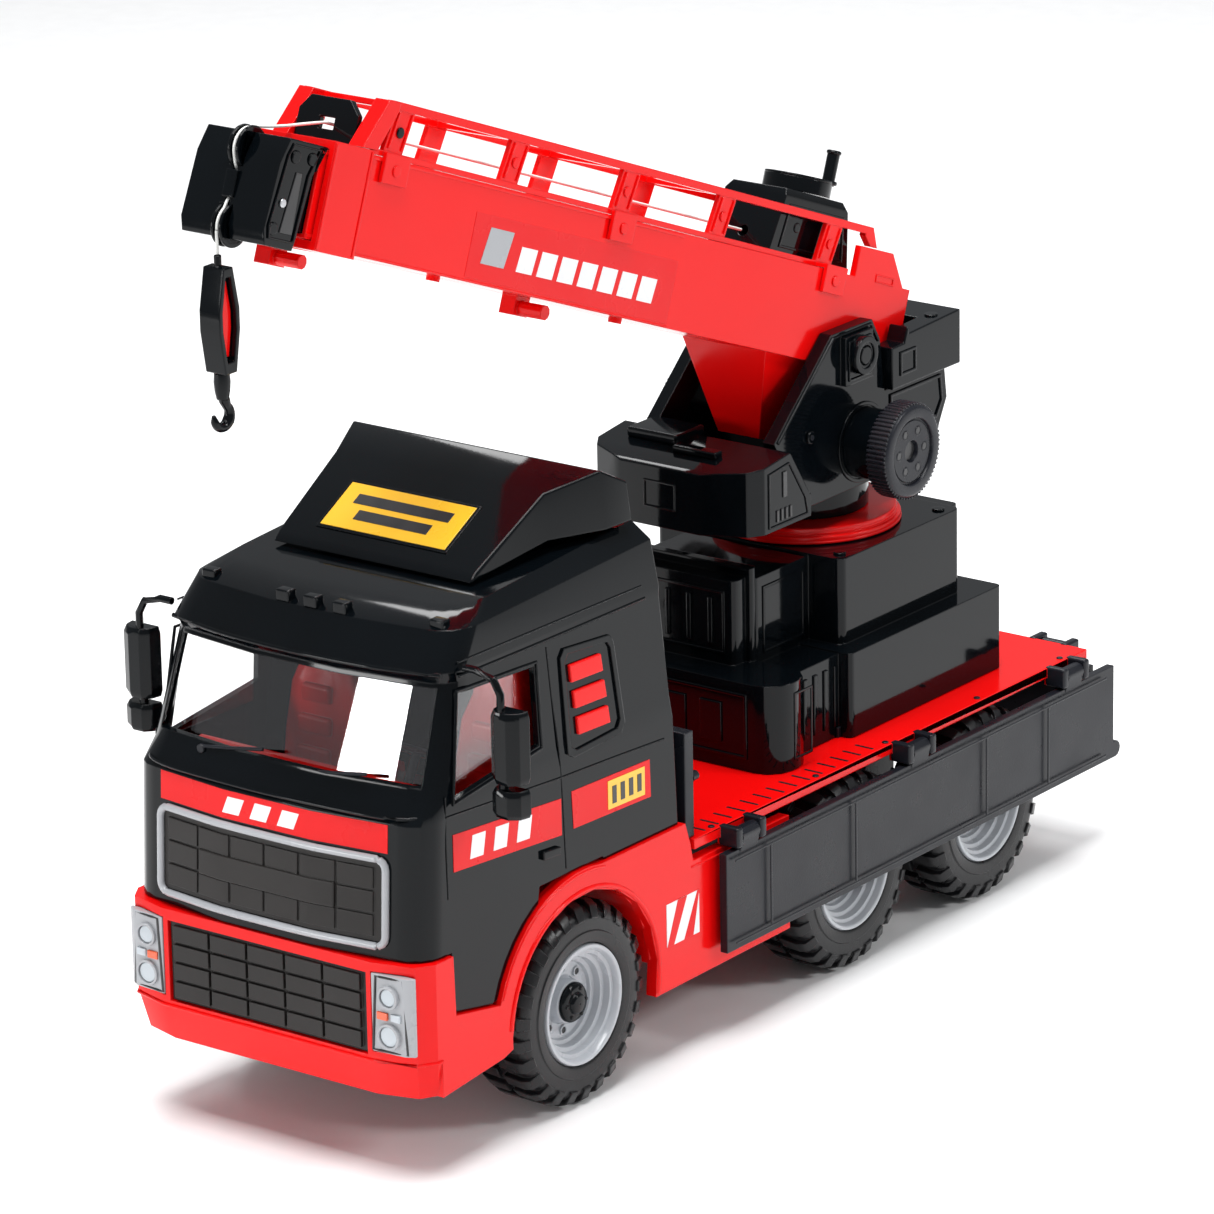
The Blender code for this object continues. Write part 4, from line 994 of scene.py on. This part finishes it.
def counterweight_details():
    forms = [side_rim(sign, rect(163, 249.5, 176, 261), 40.2, 41.2, 1.4) for sign in BOTH]
    forms += [panel_frame("y", rect(x - 11, 248.5, x + 11, 266), 212.4, 213.4, 1.6)
              for x in (-27, 0, 27)]
    forms += [disc("z", (x, 198), 3.2, 268.6, 270.3, 0.4, 18) for x in (-34, 34)]
    piece("counterweight_frames", forms, BLACK, "turret")


def turret():
    for node, edge in (("turret_frame", 0.6), ("turret_hood", 1.6), ("counterweight", 1.2)):
        refined(node, edge=edge)
    refined("boom_pivot_pin")
    refined("luffing_shaft")
    pedestal_details()
    turntable_rings()
    cheek_details()
    hood_details()
    counterweight_details()
    for side, sign in SIDES.items():
        place = Matrix.Translation((0, KNOB.y, KNOB.z))
        piece(f"{side}_knob", knob_forms(sign), SATIN, "luffing_gear", place, [f"luffing_knob_{side}"])
        piece(f"{side}_knob_holes", knob_hole_forms(sign), BLACK_PRINT, "luffing_gear", place)


# ---------------------------------------------------------------- boom, in its own frame

def boom_markings():
    """The side prints: a red field with a light block and a row of plain white bars."""
    fields, blocks, bars = [], [], []
    for sign in BOTH:
        fields.append(skin(sign, rect(-287, -6, -134.5, 22), 0.15))
        blocks.append(skin(sign, [(-278, 1), (-261, 1), (-258, 17), (-275, 17)], 0.3))
        for i in range(7):
            left = -252 + 15.2 * i
            bars.append(skin(sign, [(left, 1), (left + 11.6, 1), (left + 13, 12), (left + 1.4, 12)], 0.3))
    boom_piece("boom_sticker_fields", fields, RED_PRINT)
    boom_piece("boom_sticker_blocks", blocks, SILVER)
    boom_piece("boom_sticker_bars", bars, WHITE_PRINT)


def skin(sign, outline, lift):
    """A thin patch on the side of the outer boom."""
    return side_slab(sign, outline, 23.8, 24 + lift, 0)


def boom_details():
    """Seams, collars, struts, rings and screws along the outer boom and the rail frame."""
    forms, screws, dimples = [], [], []
    wall = 23.7
    for sign in BOTH:
        for low, high in ((32.6, 34.2), (-7.8, -6.8)):
            forms.append(side_slab(sign, rect(-365, low, -134, high), 23.8, 24.6, 0.3))
        for y in (-391.6, -367.2):
            forms.append(side_slab(sign, rect(y, -9, y + 1.6, 35.6), 24.7, 25.3, 0.25))
        forms.append(side_rim(sign, [(16, 34), (16, 38), (31, 38), (31, 34)], 28.6, 29.3, 0.8))
        forms.append(hoop("x", (0, 0), 9, 6, *span(sign, 28.6, 29.3), 0.2, 40))
        for post in POSTS:
            target = screws if post == POSTS[0] else dimples
            target.append(side_disc(sign, (post + 0.8, 46), 2.4, wall, wall + 0.8, 0.4, 18))
            for foot in (post - 5.8, post + 3.4):
                strut = [(foot, 38.6), (foot + 1, 38.6), (foot + 4.2, 54.4), (foot + 3.2, 54.4)]
                forms.append(side_slab(sign, strut, wall, wall + 0.8, 0.2))
            if post in WALL_AT_POST:
                near = WALL_AT_POST[post]
                dimples.append(side_disc(sign, (post + 0.5, 30), 2.6, near, near + 0.7, 0.4, 18))
    boom_piece("boom_ridges", forms, RED)
    boom_piece("boom_screws", screws, BLACK)
    boom_piece("boom_dimples", dimples, RED)


def head_details():
    """Rims, bosses, a screw and a sunk panel on each side, the plate in front and the sheaves' cheeks."""
    forms, screws, recesses, flanges = [], [], [], []
    rim = [(-418, 26), (-415.5, 31.4), (-397, 31.4), (-402, 20), (-404, -9), (-420.5, -9),
           (-422, -4)]
    for sign in BOTH:
        forms.append(side_rim(sign, rim, 21.9, 22.8, 1))
        for centre in ((-412.6, 26), (-401.6, 26.6), (-418.4, -4.6)):
            forms.append(side_disc(sign, centre, 2.8, 21.9, 22.8, 0.5, 24))
        recess = [(-414, -5.6), (-405.6, -5.6), (-406.6, 20), (-410.5, 20)]
        recesses.append(side_slab(sign, recess, 21.8, 22.5, 0.3))
        screws.append(side_disc(sign, (-415.4, 6.4), 1.9, 21.9, 22.9, 0.4, 18))
    forms.append(block((-3, -424.4, 4.6), (3, -419, 16.4), 0.6))
    for centre in (UPPER_SHEAVE, LOWER_SHEAVE):
        flanges += [disc("x", centre, 9.4, low, low + 1.4, 0.4, 40) for low in (-2.8, 1.4)]
    boom_piece("head_bosses", forms, BLACK, "boom_tip")
    boom_piece("head_recesses", recesses, BLACK_PRINT, "boom_tip")
    boom_piece("head_screws", screws, STEEL, "boom_tip")
    boom_piece("sheave_flanges", flanges, BLACK, "boom_tip")


def inner_details():
    forms = [side_slab(sign, rect(-395.6, z, -220, z + 1.2), 21.4, 22, 0.15)
             for sign in BOTH for z in (-4.6, 30)]
    boom_piece("inner_edges", forms, RED, "boom_tip")


def winch_details():
    """Panels and bolts on the housing, rings on the crank, and the cord wound on the drum."""
    forms = []
    for sign in BOTH:
        forms.append(side_rim(sign, [(-50, 39.5), (3, 39.5), (-2, 60), (-47, 60)], 16.6, 17.5, 1.4))
        forms += [side_disc(sign, (y, 50), 2.4, 16.6, 17.5, 0.4, 18) for y in (-38, -9)]
    boom_piece("winch_panels", forms, BLACK)
    handle = (11, -11.6)
    rings = [hoop("z", WINCH, 16, 13.4, 73.2, 74.6, 0.3, 60), disc("z", WINCH, 4.4, 73, 75.2, 0.5, 28),
             disc("z", handle, 4.2, 73, 75, 0.6, 24), disc("z", handle, 3.5, 87, 89, 0.8, 24)]
    boom_piece("crank_rings", rings, BLACK, "winch")
    wound, turns, steps = 9, 10, 24
    coil = [(wound * math.cos(t), WINCH[1] + wound * math.sin(t), 41 + 15 * t / (22 * math.pi))
            for t in (2 * math.pi * i / steps for i in range(steps * turns + 1))]
    boom_piece("winch_coil", [tube(coil, CORD_RADIUS, 6)], CORD, "winch")


def boom():
    for node, edge in (("boom_outer", 0.6), ("boom_lattice", 0.35), ("boom_inner", 0.4), ("boom_head", 0.5),
                       ("cord_guide", 0.5), ("winch_housing", 0.9), ("winch_crank", 0.6)):
        refined(node, edge=edge)
    for node in ("winch_drum", "upper_sheave", "lower_sheave"):
        refined(node)
    boom_markings()
    boom_details()
    head_details()
    inner_details()
    winch_details()


# ---------------------------------------------------------------- cord and hook

def cords():
    """Cord on the boom, the cord that slides out with the tip, and the plumb drop."""
    high = 44
    run = [(0, -57 - 3.14 * i, high) for i in range(101)]
    boom_piece("boom_cord", [tube(run, CORD_RADIUS, 10)], CORD, "boom", ["cord_run"])
    slide = [(0, -210 - 3.9 * i, high) for i in range(40)]
    bend = smooth_path([(0, -366, high), (0, -371, 43.9), (0, -384, 41.2), (0, -396, 38.5),
                        (0, -408, 36.4), (0, -414.6, 35.6)], 6)
    wrap = [(0, *place) for place in arc(UPPER_SHEAVE, 8.2, 96, 205, 16)]
    inside = smooth_path([(0, -423, 19), (0, -418, 12), (0, -423.4, 3)], 6)
    under = [(0, *place) for place in arc(LOWER_SHEAVE, 8.2, 135, 202, 12)]
    path = slide + bend + wrap + inside + under
    boom_piece("tip_cord", [tube(path, CORD_RADIUS - 0.04, 10)], CORD, "boom_tip", ["cord_lead"])
    foot, top, y, steps = 400.2, 410, joint_place("hook_swivel").y, 60
    drop = [(0, y, top - (top - foot) * i / steps) for i in range(steps + 1)]
    made = piece("hoist_cord", [tube(drop, CORD_RADIUS, 10)], CORD, None, None, ["cord_drop"])
    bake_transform(made)


def hook():
    """The block's two cheeks, and the swivel hook with its sleeve, thick bend and pointed tip."""
    refined("hook_block", edge=0.5)
    refined("hook_block_core", RED, 0.4)
    y = joint_place("hook_swivel").y
    sleeve = [(0.6, 349.8), (3.3, 349.8), (3.6, 346), (3.3, 342), (2.6, 338.5), (0.6, 338.5)]
    forms = [placed(lathe(sleeve, 32), Matrix.Translation((0, y, 0)) @ Matrix.Rotation(-math.pi / 2, 4, "Y"))]
    stations = [((y, 340.5), 2.2), ((y + 1, 337.8), 2.5)]
    bend = arc((y - 0.9, 331.4), 4.9, 50, -165, 15)
    stations += [(place, 2.6 - 0.1 * abs(i - 6)) for i, place in enumerate(bend)]
    stations += [((y - 6.1, 332.6), 0.8)]
    rings, sides = [], 14
    for i, ((a, b), radius) in enumerate(stations):
        fore_a, fore_b = stations[max(0, i - 1)][0]
        aft_a, aft_b = stations[min(len(stations) - 1, i + 1)][0]
        ahead = Vector((0, aft_a - fore_a, aft_b - fore_b)).normalized()
        side = ahead.cross(Vector((1, 0, 0)))
        rings.append([Vector((0, a, b)) + radius * (Vector((1, 0, 0)) * math.cos(t) + side * math.sin(t))
                      for t in (2 * math.pi * k / sides for k in range(sides))])
    forms.append(loft(rings))
    piece("hook_rod", forms, BLACK, "hook", None, ["hook"])


# ---------------------------------------------------------------- build, light and camera

def lights():
    world = bpy.data.worlds.new("studio")
    bpy.context.scene.world = world
    world.use_nodes = True
    world.node_tree.nodes["Background"].inputs["Color"].default_value = (0.95, 0.97, 1, 1)
    world.node_tree.nodes["Background"].inputs["Strength"].default_value = 0.34
    bpy.context.scene.view_settings.view_transform = "Standard"
    for name, place, size, power in (
            ("key", (0, -0.3, 2.4), 1.5, 84), ("fill", (2, 0.9, 1.5), 0.5, 20),
            ("back", (-1, 1.3, 1.9), 0.8, 14), ("screen", (-1.045, -2.14, 0.55), 0.5, 13)):
        lamp = bpy.data.lights.new(name, "AREA")
        lamp.energy = power
        lamp.size = size
        made = bpy.data.objects.new(name, lamp)
        bpy.context.scene.collection.objects.link(made)
        made.location = place
        made.rotation_euler = (Vector((0, 0, 0.2)) - Vector(place)).to_track_quat("-Z", "Y").to_euler()


def camera():
    """A long lens at the truck's front left corner, well above its roof."""
    azimuth, elevation, roll = (math.radians(a) for a in (37.132, 18.206, -1.031))
    back = Vector((math.sin(azimuth) * math.cos(elevation), -math.cos(azimuth) * math.cos(elevation),
                   math.sin(elevation)))
    right = Vector((math.cos(azimuth), math.sin(azimuth), 0))
    up = back.cross(right)
    level = (right * math.cos(roll) + up * math.sin(roll), up * math.cos(roll) - right * math.sin(roll), back)
    lens = bpy.data.cameras.new("camera")
    lens.lens = 200.36
    lens.sensor_width = 36
    lens.shift_x = -0.005
    lens.clip_start = 0.1
    made = bpy.data.objects.new("camera", lens)
    bpy.context.scene.collection.objects.link(made)
    turn = Matrix(level).transposed().to_4x4()
    made.matrix_world = Matrix.Translation((1.7368806, -2.29925, 1.1226238)) @ turn
    bpy.context.scene.camera = made


def floor():
    mesh = mesh_from("floor", [block((-3000, -3000, -8), (3000, 3000, -0.4), 0)])
    made = bpy.data.objects.new("floor", mesh)
    bpy.context.scene.collection.objects.link(made)
    paper, nodes, links, shader = shader_nodes("white_sweep")
    fibre = noise(nodes, links, 60, 5)
    tint = ramp(nodes, links, fibre.outputs["Fac"], ((0.3, grey(0.93)), (0.7, grey(0.96))))
    links.new(tint.outputs["Color"], shader.inputs["Base Color"])
    shader.inputs["Roughness"].default_value = 0.6
    mesh.materials.append(paper)


wheels()
cab()
bed()
turret()
boom()
cords()
hook()
lights()
camera()
floor()
